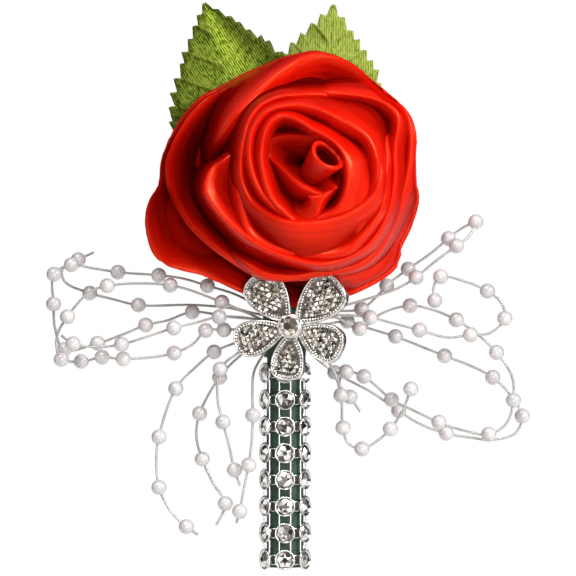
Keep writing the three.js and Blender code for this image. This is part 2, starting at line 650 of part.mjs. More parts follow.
add("centre_stone", centreStone, CRYSTAL, flower);
brooch.add(flower);

// Glue pad between the binding and the metal flower, hollowed to the binding and cut to the flower's slant
const padLength = FLOWER_STANDOFF + 2 * NECK_R;
const pad = new THREE.CylinderGeometry(GLUE_PAD_R, GLUE_PAD_R, padLength, 12);
pad.translate(GLUE_PAD_X, STEM_Y - padLength / 2, FLOWER_Z);
const bindingProfile = [[0, NECK_BOTTOM], ...neckProfile(GLUE_GAP).slice(1, -2), [0, NECK_TOP]];
const bindingRoom = turned(bindingProfile, 0, STEM_Y, 20);
const flowerRoom = box(4 * padLength, 4 * padLength, padLength, 0, 0, padLength / 2 - GLUE_GAP);
add("glue_pad", cut(pad, [bindingRoom, flowerRoom.applyMatrix4(flowerMatrix)]), GLUE);

// Pearl strands: stops along each line, as x, y, z; a pearl sits on each stop made with pearl().
// A strand leaves the binding at a root, given by its angle round the neck and its height.
const root = (degrees, z) => {
  const reach = neckRadius(z) + GLUE_GAP + LINE_R / 2;
  const angle = THREE.MathUtils.degToRad(degrees);
  return bend(reach * Math.cos(angle), STEM_Y + reach * Math.sin(angle), z);
};
const pearl = (x, y, z) => ({ point: new THREE.Vector3(x, y, z), bead: true });
const bend = (x, y, z) => ({ point: new THREE.Vector3(x, y, z), bead: false });
const STRANDS = {
  pearl_strand_left_1: [
    root(206, -27.6), bend(-8.3, -7.2, -26.6), pearl(-12.0, -7.6, -25.1), pearl(-21.8, -7.6, -21.9),
    pearl(-33.8, -7.2, -22.0), bend(-37.4, -7.0, -23.4), pearl(-41.4, -6.6, -27.9), bend(-43.2, -6.2, -31.0),
    bend(-43.5, -5.8, -33.6), pearl(-42.6, -5.6, -36.0), pearl(-38.8, -6.0, -36.4), pearl(-34.8, -6.4, -35.6),
    pearl(-30.8, -6.8, -35.9), bend(-25.6, -7.0, -35.6), pearl(-21.1, -7.0, -34.8), bend(-17.4, -7.0, -33.0),
    pearl(-15.1, -7.0, -30.5), pearl(-11.6, -6.8, -30.4), bend(-8.0, -6.4, -30.2), root(204, -29.9),
  ],
  pearl_strand_left_2: [
    root(168, -26.2), bend(-9.6, -2.6, -23.6), pearl(-14.8, -2.4, -22.0), bend(-19.6, -2.2, -20.6),
    pearl(-24.1, -2.2, -20.0), pearl(-31.9, -2.4, -19.4), bend(-37.0, -2.6, -18.6), pearl(-40.8, -2.6, -18.0),
    pearl(-44.1, -2.4, -19.8), pearl(-44.2, -2.0, -25.5), bend(-43.9, -1.8, -30.2), pearl(-42.2, -1.6, -34.2),
    pearl(-35.8, -1.8, -33.0), bend(-31.2, -2.0, -31.4), pearl(-26.6, -2.2, -29.5), bend(-22.4, -2.4, -28.6),
    pearl(-17.7, -2.6, -27.0), bend(-10.8, -3.0, -27.9), root(173, -28.4),
  ],
  pearl_strand_left_3: [
    root(222, -28.7), bend(-8.0, -8.6, -28.0), pearl(-12.5, -9.6, -27.9), bend(-16.6, -11.0, -28.9),
    pearl(-21.1, -11.0, -30.0), bend(-26.0, -10.8, -31.6), pearl(-31.0, -10.4, -33.1),
    bend(-35.6, -10.0, -33.6),
    pearl(-40.2, -9.8, -33.0), bend(-42.5, -9.8, -31.4),
  ],
  pearl_strand_left_4: [
    root(148, -28.6), bend(-9.0, 0.8, -26.6), bend(-17.0, 1.8, -25.7), pearl(-28.1, 2.0, -25.7),
    bend(-33.6, 1.8, -24.4), pearl(-37.4, 1.6, -23.4), bend(-42.2, 1.4, -21.2), bend(-42.6, 1.4, -18.8),
    pearl(-39.6, 1.4, -17.0), bend(-36.6, 1.4, -15.6),
  ],
  pearl_strand_left_5: [
    root(190, -31.5), bend(-8.6, -5.0, -32.6), pearl(-13.5, -5.2, -34.6), bend(-16.7, -5.4, -37.2),
    pearl(-20.8, -5.6, -41.6), pearl(-24.0, -5.8, -50.8), bend(-24.5, -5.8, -55.6), pearl(-24.0, -5.6, -60.4),
    bend(-22.0, -5.4, -64.6), pearl(-18.8, -5.2, -67.9), bend(-16.6, -5.0, -69.4),
  ],
  pearl_strand_left_6: [
    root(170, -33.0), bend(-8.6, -2.4, -35.4), pearl(-12.5, -2.0, -39.5), pearl(-16.3, -2.0, -46.4),
    bend(-16.9, -2.0, -50.9), pearl(-15.8, -2.2, -55.1), bend(-13.7, -2.4, -59.7), pearl(-11.4, -2.6, -63.6),
    bend(-13.1, -2.6, -67.7),
  ],
  pearl_strand_left_7: [
    root(206, -32.6), bend(-8.3, -8.6, -34.4), pearl(-12.3, -9.4, -37.8), bend(-12.8, -9.2, -43.2),
    pearl(-11.8, -9.0, -47.9), bend(-10.6, -8.8, -52.4), pearl(-9.6, -8.6, -57.0), bend(-8.5, -8.4, -60.0),
  ],
  pearl_strand_left_8: [
    root(218, -34.2), bend(-5.9, -9.0, -38.4), bend(-6.2, -9.6, -42.4), pearl(-6.1, -9.8, -46.6),
    bend(-6.3, -9.8, -51.4), pearl(-6.9, -10.4, -56.0), bend(-7.8, -10.6, -60.6), pearl(-8.6, -10.4, -64.8),
    bend(-9.2, -10.2, -67.0),
  ],
  pearl_strand_right_1: [
    root(12, -26.4), bend(10.4, -2.8, -26.8), pearl(14.6, -2.6, -26.4), bend(17.2, -2.4, -24.4),
    pearl(19.4, -2.2, -22.0), pearl(23.5, -2.0, -18.8), bend(27.6, -1.8, -16.0), pearl(31.2, -1.8, -13.0),
    bend(33.8, -2.0, -11.0), pearl(36.4, -2.6, -9.8), bend(35.0, -4.2, -12.6), pearl(32.6, -5.6, -14.4),
    bend(28.8, -6.0, -17.2), pearl(24.9, -6.2, -20.4), bend(21.6, -6.2, -22.4), bend(12.6, -6.0, -25.4),
    root(-19, -27.2),
  ],
  pearl_strand_right_2: [
    root(-39, -27.9), bend(10.6, -9.2, -27.6), pearl(16.1, -10.0, -28.0), bend(20.8, -10.2, -29.2),
    pearl(25.5, -10.2, -30.4), bend(30.8, -10.0, -31.8), pearl(35.2, -9.8, -31.3), bend(39.0, -9.8, -30.9),
    pearl(41.7, -9.8, -28.2), bend(41.0, -9.8, -25.2), pearl(38.4, -9.8, -23.0), bend(34.2, -9.8, -21.2),
    pearl(29.5, -9.8, -20.3), bend(28.2, -9.8, -22.2), pearl(28.4, -9.8, -24.8),
  ],
  pearl_strand_right_3: [
    root(-5, -29.0), bend(9.4, -4.4, -28.0), pearl(14.2, -4.6, -30.2), bend(18.6, -5.0, -27.2),
    pearl(23.8, -5.2, -25.8), bend(28.2, -5.4, -26.6), pearl(32.6, -5.4, -28.5), bend(36.6, -5.2, -31.2),
    pearl(40.3, -5.0, -34.7), bend(43.2, -4.8, -39.2), pearl(43.5, -4.8, -43.8), bend(42.2, -4.8, -48.2),
    pearl(38.8, -4.8, -50.3), bend(34.2, -4.8, -49.6), pearl(29.3, -4.8, -48.0), bend(24.6, -4.6, -45.8),
    pearl(20.3, -4.4, -43.7), bend(17.6, -4.2, -41.3), pearl(15.0, -4.0, -39.3), pearl(11.6, -3.8, -38.4),
    bend(10.4, -3.6, -40.6), pearl(12.4, -3.6, -43.2), bend(14.4, -3.6, -46.0),
  ],
  pearl_strand_right_4: [
    root(28, -29.4), bend(8.0, -0.6, -29.3), pearl(11.9, -0.2, -28.8), bend(16.2, -0.4, -30.2),
    pearl(21.1, -0.6, -31.7), bend(26.0, -0.8, -33.6), pearl(30.5, -1.0, -35.4), bend(35.2, -1.0, -37.2),
    pearl(39.7, -1.0, -39.5), bend(43.2, -1.0, -43.0), pearl(45.3, -1.0, -46.9), bend(44.0, -1.0, -50.2),
    bend(39.6, -1.0, -51.4), bend(35.4, -1.0, -51.0), pearl(30.8, -1.0, -50.2), bend(26.2, -1.0, -48.6),
    pearl(21.7, -0.8, -45.9), bend(16.6, -0.6, -42.4), pearl(9.5, -0.4, -38.6), bend(6.6, -1.0, -36.4),
    root(27, -34.0),
  ],
  pearl_strand_right_5: [
    root(-24, -33.4), bend(8.6, -7.8, -37.0), pearl(10.6, -8.2, -42.8), pearl(11.0, -8.2, -49.0),
    bend(12.0, -8.2, -51.9), pearl(14.6, -8.2, -53.0), bend(17.6, -8.2, -51.4), pearl(20.0, -8.2, -49.2),
    bend(22.3, -8.2, -45.8), pearl(23.9, -8.2, -41.6),
  ],
};

function strandGeometry(stops) {
  const curve = new THREE.CatmullRomCurve3(stops.map((stop) => stop.point), false, "centripetal");
  const rings = [];
  const last = stops.length - 1;
  const ringAt = (t, offset, radius) => {
    const tangent = curve.getTangent(t);
    rings.push({ centre: curve.getPoint(t).addScaledVector(tangent, offset), tangent, radius });
  };
  stops.forEach((stop, i) => {
    const t = i / last;
    if (stop.bead) {
      ringAt(t, -PEARL_R, LINE_R);
      ringAt(t, -PEARL_R * 0.45, PEARL_R * 0.95);
      ringAt(t, PEARL_R * 0.45, PEARL_R * 0.95);
      ringAt(t, PEARL_R, LINE_R);
    } else {
      ringAt(t, 0, LINE_R);
    }
    if (i === last) return;
    const apart = stop.point.distanceTo(stops[i + 1].point);
    const taken = (stop.bead ? PEARL_R : 0) + (stops[i + 1].bead ? PEARL_R : 0);
    if (apart > taken + 4) ringAt((i + 0.5) / last, 0, LINE_R);
  });
  const positions = [];
  const index = [];
  let side = new THREE.Vector3(0.31, 0.87, 0.38);
  rings.forEach(({ centre, tangent, radius }) => {
    side = side.clone().addScaledVector(tangent, -side.dot(tangent)).normalize();
    const other = tangent.clone().cross(side);
    for (let k = 0; k < LINE_SIDES; k += 1) {
      const angle = (k / LINE_SIDES) * Math.PI * 2;
      const spoke = side.clone().multiplyScalar(Math.cos(angle)).addScaledVector(other, Math.sin(angle));
      positions.push(...centre.clone().addScaledVector(spoke, radius));
    }
  });
  for (let i = 0; i + 1 < rings.length; i += 1) {
    for (let k = 0; k < LINE_SIDES; k += 1) {
      const a = i * LINE_SIDES + k;
      const b = i * LINE_SIDES + ((k + 1) % LINE_SIDES);
      index.push(a, b, b + LINE_SIDES, a, b + LINE_SIDES, a + LINE_SIDES);
    }
  }
  const end = (rings.length - 1) * LINE_SIDES;
  for (let k = 1; k + 1 < LINE_SIDES; k += 1) {
    index.push(0, k + 1, k);
    index.push(end, end + k, end + k + 1);
  }
  const geometry = new THREE.BufferGeometry();
  geometry.setAttribute("position", new THREE.Float32BufferAttribute(positions, 3));
  geometry.setIndex(index);
  geometry.computeVertexNormals();
  return geometry;
}

for (const [name, stops] of Object.entries(STRANDS)) {
  const geometry = strandGeometry(stops);
  add(name, geometry, PEARL);
}

export default brooch;
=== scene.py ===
# %% [markdown]
# # A satin rose brooch
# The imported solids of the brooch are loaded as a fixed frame, and each soft, wound or faceted piece
# is then made again in full detail on top of its solid. Sizes are in millimetres and are turned into
# metres when a mesh is made. The viewer looks along +Y, X runs to the right and Z runs up.

# %% Load the frame
import math
import random
import bpy
from mathutils import Matrix, Vector, noise


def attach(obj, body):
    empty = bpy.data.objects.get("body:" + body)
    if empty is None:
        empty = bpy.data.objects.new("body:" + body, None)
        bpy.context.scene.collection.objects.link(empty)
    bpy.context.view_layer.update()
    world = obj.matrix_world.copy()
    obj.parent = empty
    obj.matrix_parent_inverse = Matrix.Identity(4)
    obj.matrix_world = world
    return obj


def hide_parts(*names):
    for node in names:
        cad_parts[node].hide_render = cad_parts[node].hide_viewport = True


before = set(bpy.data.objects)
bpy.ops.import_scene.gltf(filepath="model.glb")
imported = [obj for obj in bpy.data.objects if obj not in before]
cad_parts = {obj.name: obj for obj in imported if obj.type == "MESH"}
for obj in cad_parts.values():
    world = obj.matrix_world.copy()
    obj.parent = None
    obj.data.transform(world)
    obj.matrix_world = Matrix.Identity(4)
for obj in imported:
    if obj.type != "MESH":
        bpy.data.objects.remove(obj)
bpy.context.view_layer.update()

MM = 0.001

# %% [markdown]
# ## Small helpers
# A colour is written the way a photo editor shows it and turned into the linear light that shading
# works in. One helper adds a shader node, sets what it is given and links the sockets it is handed. Sockets
# can also be given by number: 0, 6 and 7 of a colour mix are its factor and its two colours. Most finishes
# here drift between close tones over a length that can be measured, so another helper does just that. Many
# pieces are rings of points with faces between them, and the last two helpers make those.

# %% Colour, nodes and meshes
# At scale 1 a wave texture repeats every 0.314 units.
WAVE_PERIOD = 0.314


def colour(code):
    channels = [int(code[i:i + 2], 16) / 255 for i in (0, 2, 4)]
    linear = [c / 12.92 if c <= 0.04045 else ((c + 0.055) / 1.055) ** 2.4 for c in channels]
    return (*linear, 1.0)


def node(tree, kind, inputs=None, stops=(), **settings):
    """Adds a node. A colour ramp also takes stops, each a place from 0 to 1 and a colour."""
    made = tree.nodes.new("ShaderNode" + kind)
    for key, value in settings.items():
        setattr(made, key, value)
    for key, value in (inputs or {}).items():
        if isinstance(value, bpy.types.NodeSocket):
            tree.links.new(value, made.inputs[key])
        else:
            made.inputs[key].default_value = value
    for _ in stops[2:]:
        made.color_ramp.elements.new(0.5)
    for element, (place, code) in zip(made.color_ramp.elements if stops else (), stops):
        element.position = place
        element.color = colour(code)
    return made


def material(name, **sockets):
    made = bpy.data.materials.new(name)
    made.use_nodes = True
    shader = made.node_tree.nodes["Principled BSDF"]
    for key, value in sockets.items():
        shader.inputs[key.replace("_", " ")].default_value = value
    return made, made.node_tree, shader


def mottle(tree, shader, size, stops, **settings):
    """Lets the colour drift over a size in millimetres, and returns the noise for further use."""
    place = node(tree, "TexCoord").outputs["Object"]
    drift = node(tree, "TexNoise", {"Vector": place, "Scale": 1 / (size * MM), **settings}).outputs["Fac"]
    tint = node(tree, "ValToRGB", {"Fac": drift}, stops=stops).outputs["Color"]
    tree.links.new(tint, shader.inputs["Base Color"])
    return drift


def piece(name, points, faces, look, smooth=True, body="brooch"):
    """A mesh from points in millimetres that rides with a body of the frame."""
    mesh = bpy.data.meshes.new(name)
    mesh.from_pydata([Vector(p) * MM for p in points], [], faces)
    mesh.validate()
    mesh.polygons.foreach_set("use_smooth", [smooth] * len(mesh.polygons))
    mesh.materials.append(look)
    made = bpy.data.objects.new(name, mesh)
    bpy.context.scene.collection.objects.link(made)
    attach(made, body)
    return made


def ring_faces(first, rings, sides):
    """Faces between closed rings of points that follow one another from index first."""
    faces = []
    for start in range(first, first + (rings - 1) * sides, sides):
        for k in range(sides):
            a, b = start + k, start + (k + 1) % sides
            faces.append((a, b, b + sides, a + sides))
    return faces


print(f"half grey is {colour('808080')[0]:.2f} of full light")

# %% [markdown]
# ## The camera
# The photograph was taken square on with a long lens, so lines that run away from the viewer hardly
# converge. The picture is 109.4 mm wide at the brooch, and the camera stands 1.2 m in front of it.

# %% Camera
PICTURE_WIDTH = 109.44
PICTURE_CENTRE = (0.57, -22.42)
CAMERA_DISTANCE = 1200
PLANE_Y = -8

lens = bpy.data.cameras.new("camera")
lens.sensor_width = 36
lens.lens = 36 * CAMERA_DISTANCE / PICTURE_WIDTH
lens.clip_start = 0.05
lens.clip_end = 20
camera = bpy.data.objects.new("camera", lens)
camera.location = Vector((PICTURE_CENTRE[0], PLANE_Y - CAMERA_DISTANCE, PICTURE_CENTRE[1])) * MM
camera.rotation_euler = (math.pi / 2, 0, 0)
bpy.context.scene.collection.objects.link(camera)
bpy.context.scene.camera = camera
print(f"lens {lens.lens:.0f} mm at {CAMERA_DISTANCE} mm")

# %% [markdown]
# ## Pearl strands
# Each strand is a clear nylon line with glued plastic pearls. Two finishes are needed. Pearl lacquer is
# glossy and drifts between cool and warm white. Nylon is nearly clear, but a line this thin shows mostly
# the grey of its edges, which is painted into a pale grey body with only a little transmission.

# %% Materials of the strands
# Mother-of-pearl lacquer drifts a little between cool and warm white over a millimetre or two.
pearl_look, tree, shader = material(
    "pearl_lacquer", Roughness=0.3, IOR=1.55, Coat_Weight=0.8, Coat_Roughness=0.06,
)
mottle(tree, shader, 2.4, ((0.3, "b9b6b8"), (0.5, "c8c3c4"), (0.72, "d4cdc9")), Detail=1.5)

# Drawn nylon is smooth, and clouds a little along its length.
line_look, tree, shader = material(
    "clear_nylon", Roughness=0.2, IOR=1.53, Transmission_Weight=0.12, Coat_Weight=0.2,
)
mottle(tree, shader, 5, ((0.35, "9c9996"), (0.65, "bebbb8")), Detail=2)
print("strand finishes:", pearl_look.name, line_look.name)

# %% [markdown]
# A strand leaves the binding at the neck, and either loops back into it or ends in a cut tip. Its stops
# are the ones the solids were made from: roots on the binding, bends of the line and pearls. Writing a
# pearl as a stop of the line makes sure that the bead sits exactly on it.

# %% Routes of the strands
STEM_Y = -4.0
NECK_TOP, NECK_BOTTOM, NECK_R, NECK_BULGE = -24.6, -35.6, 4.0, 0.4
GLUE_GAP = 0.3
PEARL_R = 1.42
LINE_R = 0.3
NYLON_R = 0.24


def neck_radius(z):
    return NECK_R + NECK_BULGE * math.sin(math.pi * (z - NECK_BOTTOM) / (NECK_TOP - NECK_BOTTOM))


def pearl(x, y, z):
    return Vector((x, y, z)), True


def bend(x, y, z):
    return Vector((x, y, z)), False


def root(degrees, z):
    reach = neck_radius(z) + GLUE_GAP + LINE_R / 2
    angle = math.radians(degrees)
    return bend(reach * math.cos(angle), STEM_Y + reach * math.sin(angle), z)


STRANDS = {
    "left_1": [
        root(206, -27.6), bend(-8.3, -7.2, -26.6), pearl(-12.0, -7.6, -25.1), pearl(-21.8, -7.6, -21.9),
        pearl(-33.8, -7.2, -22.0), bend(-37.4, -7.0, -23.4), pearl(-41.4, -6.6, -27.9),
        bend(-43.2, -6.2, -31.0), bend(-43.5, -5.8, -33.6), pearl(-42.6, -5.6, -36.0),
        pearl(-38.8, -6.0, -36.4), pearl(-34.8, -6.4, -35.6), pearl(-30.8, -6.8, -35.9),
        bend(-25.6, -7.0, -35.6), pearl(-21.1, -7.0, -34.8), bend(-17.4, -7.0, -33.0),
        pearl(-15.1, -7.0, -30.5), pearl(-11.6, -6.8, -30.4), bend(-8.0, -6.4, -30.2), root(204, -29.9),
    ],
    "left_2": [
        root(168, -26.2), bend(-9.6, -2.6, -23.6), pearl(-14.8, -2.4, -22.0), bend(-19.6, -2.2, -20.6),
        pearl(-24.1, -2.2, -20.0), pearl(-31.9, -2.4, -19.4), bend(-37.0, -2.6, -18.6),
        pearl(-40.8, -2.6, -18.0), pearl(-44.1, -2.4, -19.8), pearl(-44.2, -2.0, -25.5),
        bend(-43.9, -1.8, -30.2), pearl(-42.2, -1.6, -34.2), pearl(-35.8, -1.8, -33.0),
        bend(-31.2, -2.0, -31.4), pearl(-26.6, -2.2, -29.5), bend(-22.4, -2.4, -28.6),
        pearl(-17.7, -2.6, -27.0), bend(-10.8, -3.0, -27.9), root(173, -28.4),
    ],
    "left_3": [
        root(222, -28.7), bend(-8.0, -8.6, -28.0), pearl(-12.5, -9.6, -27.9), bend(-16.6, -11.0, -28.9),
        pearl(-21.1, -11.0, -30.0), bend(-26.0, -10.8, -31.6), pearl(-31.0, -10.4, -33.1),
        bend(-35.6, -10.0, -33.6), pearl(-40.2, -9.8, -33.0), bend(-42.5, -9.8, -31.4),
    ],
    "left_4": [
        root(148, -28.6), bend(-9.0, 0.8, -26.6), bend(-17.0, 1.8, -25.7), pearl(-28.1, 2.0, -25.7),
        bend(-33.6, 1.8, -24.4), pearl(-37.4, 1.6, -23.4), bend(-42.2, 1.4, -21.2),
        bend(-42.6, 1.4, -18.8), pearl(-39.6, 1.4, -17.0), bend(-36.6, 1.4, -15.6),
    ],
    "left_5": [
        root(190, -31.5), bend(-8.6, -5.0, -32.6), pearl(-13.5, -5.2, -34.6), bend(-16.7, -5.4, -37.2),
        pearl(-20.8, -5.6, -41.6), pearl(-24.0, -5.8, -50.8), bend(-24.5, -5.8, -55.6),
        pearl(-24.0, -5.6, -60.4), bend(-22.0, -5.4, -64.6), pearl(-18.8, -5.2, -67.9),
        bend(-16.6, -5.0, -69.4),
    ],
    "left_6": [
        root(170, -33.0), bend(-8.6, -2.4, -35.4), pearl(-12.5, -2.0, -39.5), pearl(-16.3, -2.0, -46.4),
        bend(-16.9, -2.0, -50.9), pearl(-15.8, -2.2, -55.1), bend(-13.7, -2.4, -59.7),
        pearl(-11.4, -2.6, -63.6), bend(-13.1, -2.6, -67.7),
    ],
    "left_7": [
        root(206, -32.6), bend(-8.3, -8.6, -34.4), pearl(-12.3, -9.4, -37.8), bend(-12.8, -9.2, -43.2),
        pearl(-11.8, -9.0, -47.9), bend(-10.6, -8.8, -52.4), pearl(-9.6, -8.6, -57.0),
        bend(-8.5, -8.4, -60.0),
    ],
    "left_8": [
        root(218, -34.2), bend(-5.9, -9.0, -38.4), bend(-6.2, -9.6, -42.4), pearl(-6.1, -9.8, -46.6),
        bend(-6.3, -9.8, -51.4), pearl(-6.9, -10.4, -56.0), bend(-7.8, -10.6, -60.6),
        pearl(-8.6, -10.4, -64.8), bend(-9.2, -10.2, -67.0),
    ],
    "right_1": [
        root(12, -26.4), bend(10.4, -2.8, -26.8), pearl(14.6, -2.6, -26.4), bend(17.2, -2.4, -24.4),
        pearl(19.4, -2.2, -22.0), pearl(23.5, -2.0, -18.8), bend(27.6, -1.8, -16.0),
        pearl(31.2, -1.8, -13.0), bend(33.8, -2.0, -11.0), pearl(36.4, -2.6, -9.8),
        bend(35.0, -4.2, -12.6), pearl(32.6, -5.6, -14.4), bend(28.8, -6.0, -17.2),
        pearl(24.9, -6.2, -20.4), bend(21.6, -6.2, -22.4), bend(12.6, -6.0, -25.4), root(-19, -27.2),
    ],
    "right_2": [
        root(-39, -27.9), bend(10.6, -9.2, -27.6), pearl(16.1, -10.0, -28.0), bend(20.8, -10.2, -29.2),
        pearl(25.5, -10.2, -30.4), bend(30.8, -10.0, -31.8), pearl(35.2, -9.8, -31.3),
        bend(39.0, -9.8, -30.9), pearl(41.7, -9.8, -28.2), bend(41.0, -9.8, -25.2),
        pearl(38.4, -9.8, -23.0), bend(34.2, -9.8, -21.2), pearl(29.5, -9.8, -20.3),
        bend(28.2, -9.8, -22.2), pearl(28.4, -9.8, -24.8),
    ],
    "right_3": [
        root(-5, -29.0), bend(9.4, -4.4, -28.0), pearl(14.2, -4.6, -30.2), bend(18.6, -5.0, -27.2),
        pearl(23.8, -5.2, -25.8), bend(28.2, -5.4, -26.6), pearl(32.6, -5.4, -28.5),
        bend(36.6, -5.2, -31.2), pearl(40.3, -5.0, -34.7), bend(43.2, -4.8, -39.2),
        pearl(43.5, -4.8, -43.8), bend(42.2, -4.8, -48.2), pearl(38.8, -4.8, -50.3),
        bend(34.2, -4.8, -49.6), pearl(29.3, -4.8, -48.0), bend(24.6, -4.6, -45.8),
        pearl(20.3, -4.4, -43.7), bend(17.6, -4.2, -41.3), pearl(15.0, -4.0, -39.3),
        pearl(11.6, -3.8, -38.4), bend(10.4, -3.6, -40.6), pearl(12.4, -3.6, -43.2),
        bend(14.4, -3.6, -46.0),
    ],
    "right_4": [
        root(28, -29.4), bend(8.0, -0.6, -29.3), pearl(11.9, -0.2, -28.8), bend(16.2, -0.4, -30.2),
        pearl(21.1, -0.6, -31.7), bend(26.0, -0.8, -33.6), pearl(30.5, -1.0, -35.4),
        bend(35.2, -1.0, -37.2), pearl(39.7, -1.0, -39.5), bend(43.2, -1.0, -43.0),
        pearl(45.3, -1.0, -46.9), bend(44.0, -1.0, -50.2), bend(39.6, -1.0, -51.4),
        bend(35.4, -1.0, -51.0), pearl(30.8, -1.0, -50.2), bend(26.2, -1.0, -48.6),
        pearl(21.7, -0.8, -45.9), bend(16.6, -0.6, -42.4), pearl(9.5, -0.4, -38.6),
        bend(6.6, -1.0, -36.4), root(27, -34.0),
    ],
    "right_5": [
        root(-24, -33.4), bend(8.6, -7.8, -37.0), pearl(10.6, -8.2, -42.8), pearl(11.0, -8.2, -49.0),
        bend(12.0, -8.2, -51.9), pearl(14.6, -8.2, -53.0), bend(17.6, -8.2, -51.4),
        pearl(20.0, -8.2, -49.2), bend(22.3, -8.2, -45.8), pearl(23.9, -8.2, -41.6),
    ],
}

# %% [markdown]
# The line is a Bezier curve with a round bevel, which is easy to edit later. Its handles come from a
# centripetal curve through the stops, because that one never overshoots between a near and a far stop.

# %% Line of a strand
LENGTH_STEPS = 16


def hermite(b, c, start, end, t):
    return (b * (2 * t**3 - 3 * t**2 + 1) + start * (t**3 - 2 * t**2 + t)
            + c * (3 * t**2 - 2 * t**3) + end * (t**3 - t**2))


def spans(stops):
    """The two tangents of each span of a centripetal curve through the stops."""
    ends = [2 * stops[0] - stops[1], *stops, 2 * stops[-1] - stops[-2]]
    for a, b, c, d in zip(ends, ends[1:], ends[2:], ends[3:]):
        ab, bc, cd = ((q - p).length ** 0.5 for p, q in ((a, b), (b, c), (c, d)))
        start = ((b - a) / ab - (c - a) / (ab + bc) + (c - b) / bc) * bc
        end = ((c - b) / bc - (d - b) / (bc + cd) + (d - c) / cd) * bc
        yield b, c, start, end


def strand_line(name, stops):
    curve = bpy.data.curves.new(name, "CURVE")
    curve.dimensions = "3D"
    curve.bevel_depth = NYLON_R * MM
    curve.bevel_resolution = 3
    curve.resolution_u = 8
    curve.use_fill_caps = True
    spline = curve.splines.new("BEZIER")
    spline.bezier_points.add(len(stops) - 1)
    length = 0.0
    for knot, stop in zip(spline.bezier_points, stops):
        knot.handle_left_type = knot.handle_right_type = "FREE"
        knot.co = knot.handle_left = knot.handle_right = stop * MM
    for i, (b, c, start, end) in enumerate(spans(stops)):
        spline.bezier_points[i].handle_right = (b + start / 3) * MM
        spline.bezier_points[i + 1].handle_left = (c - end / 3) * MM
        steps = [hermite(b, c, start, end, k / LENGTH_STEPS) for k in range(LENGTH_STEPS + 1)]
        length += sum((q - p).length for p, q in zip(steps, steps[1:]))
    curve.materials.append(line_look)
    made = bpy.data.objects.new(name, curve)
    bpy.context.scene.collection.objects.link(made)
    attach(made, "brooch")
    return made, length


print(f"line: {2 * NYLON_R} mm thick")

# %% [markdown]
# Pearls are plain balls of rings. All pearls of a strand are one mesh, because they are glued to the same
# line and never move on it. A ball object for each would do too, but would make some seventy more pieces.


# %% Pearls and strands
def beads(name, centres):
    points, faces = [], []
    rings, sides = 14, 24
    for centre in centres:
        first = len(points)
        for i in range(rings + 1):
            polar = math.pi * i / rings
            for k in range(sides):
                angle = 2 * math.pi * k / sides
                spoke = Vector((math.cos(angle), math.sin(angle), 0)) * math.sin(polar)
                points.append(centre + (spoke + Vector((0, 0, math.cos(polar)))) * PEARL_R)
        faces += [(a, d, c, b) for a, b, c, d in ring_faces(first, rings + 1, sides)]
    return piece(name, points, faces, pearl_look)


for name, stops in STRANDS.items():
    line, length = strand_line(f"line_{name}", [stop for stop, _ in stops])
    pearls = beads(f"pearls_{name}", [stop for stop, is_pearl in stops if is_pearl])
    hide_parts(f"pearl_strand_{name}")
    print(f"strand {name}: {length:.0f} mm, {sum(is_pearl for _, is_pearl in stops)} pearls")

# %% [markdown]
# ## The satin rose
# The flower is one satin ribbon, folded over lengthways and wound so that each turn shows its rounded
# fold as a lip. Satin's long floating threads give a broad, soft gloss that is stretched across them.
# Deep folds get painted shade and lose that gloss. Ambient occlusion could give the shade, but it is lost in
# an export, so each point of the mesh carries its own depth in a second UV map, which darkens the colour.

# %% Satin
# Satin is one deep red; fine threads 0.16 mm apart, and slubs some 8 mm long beside them, break its gloss.
satin, tree, shader = material(
    "red_satin", Roughness=0.32, Specular_Tint=colour("ff8e5c"), Anisotropic=0.35,
)
along = node(tree, "UVMap", uv_map="threads").outputs["UV"]
threads = node(tree, "TexWave", {"Vector": along, "Scale": WAVE_PERIOD / 0.16, "Distortion": 0.6,
                                 "Detail": 1}, bands_direction="Y").outputs["Fac"]
drawn = node(tree, "Mapping", {"Vector": along, "Scale": (1 / 8, 1 / 0.7, 1)}).outputs["Vector"]
slub = node(tree, "TexNoise", {"Vector": drawn, "Scale": 1, "Detail": 3}).outputs["Fac"]
cloth = node(tree, "ValToRGB", {"Fac": slub}, stops=((0.32, "ca0c01"), (0.68, "e41605"))).outputs["Color"]
# Painted shade: deep in a fold the colour is darkened by its depth, for the light there has already been
# through red cloth.
folds = node(tree, "UVMap", uv_map="fold_depth").outputs["UV"]
depth = node(tree, "SeparateXYZ", {"Vector": folds}).outputs["X"]
shade = node(tree, "ValToRGB", {"Fac": depth},
             stops=((0.0, "ffffff"), (0.12, "dadada"), (0.35, "989898"), (0.8, "646464"))).outputs["Color"]
deep = node(tree, "Mix", {0: 1.0, 6: cloth, 7: shade}, data_type="RGBA", blend_type="MULTIPLY").outputs[2]
tree.links.new(deep, shader.inputs["Base Color"])
# A lip mirrors the lamps, while the cloth in a fold only mirrors the red cloth across from it.
gloss = node(tree, "MapRange", {"Value": depth, "From Max": 0.3, "To Min": 0.9, "To Max": 0.0})
tree.links.new(gloss.outputs["Result"], shader.inputs["Specular IOR Level"])
grain = node(tree, "Bump", {"Height": slub, "Strength": 0.35, "Distance": 0.14 * MM}).outputs["Normal"]
bump = node(tree, "Bump", {"Height": threads, "Strength": 0.06, "Distance": 0.05 * MM, "Normal": grain})
tree.links.new(bump.outputs["Normal"], shader.inputs["Normal"])
tangent = node(tree, "Tangent", direction_type="UV_MAP", uv_map="threads")
tree.links.new(tangent.outputs["Tangent"], shader.inputs["Tangent"])
print(f"satin: {len(tree.nodes)} nodes")
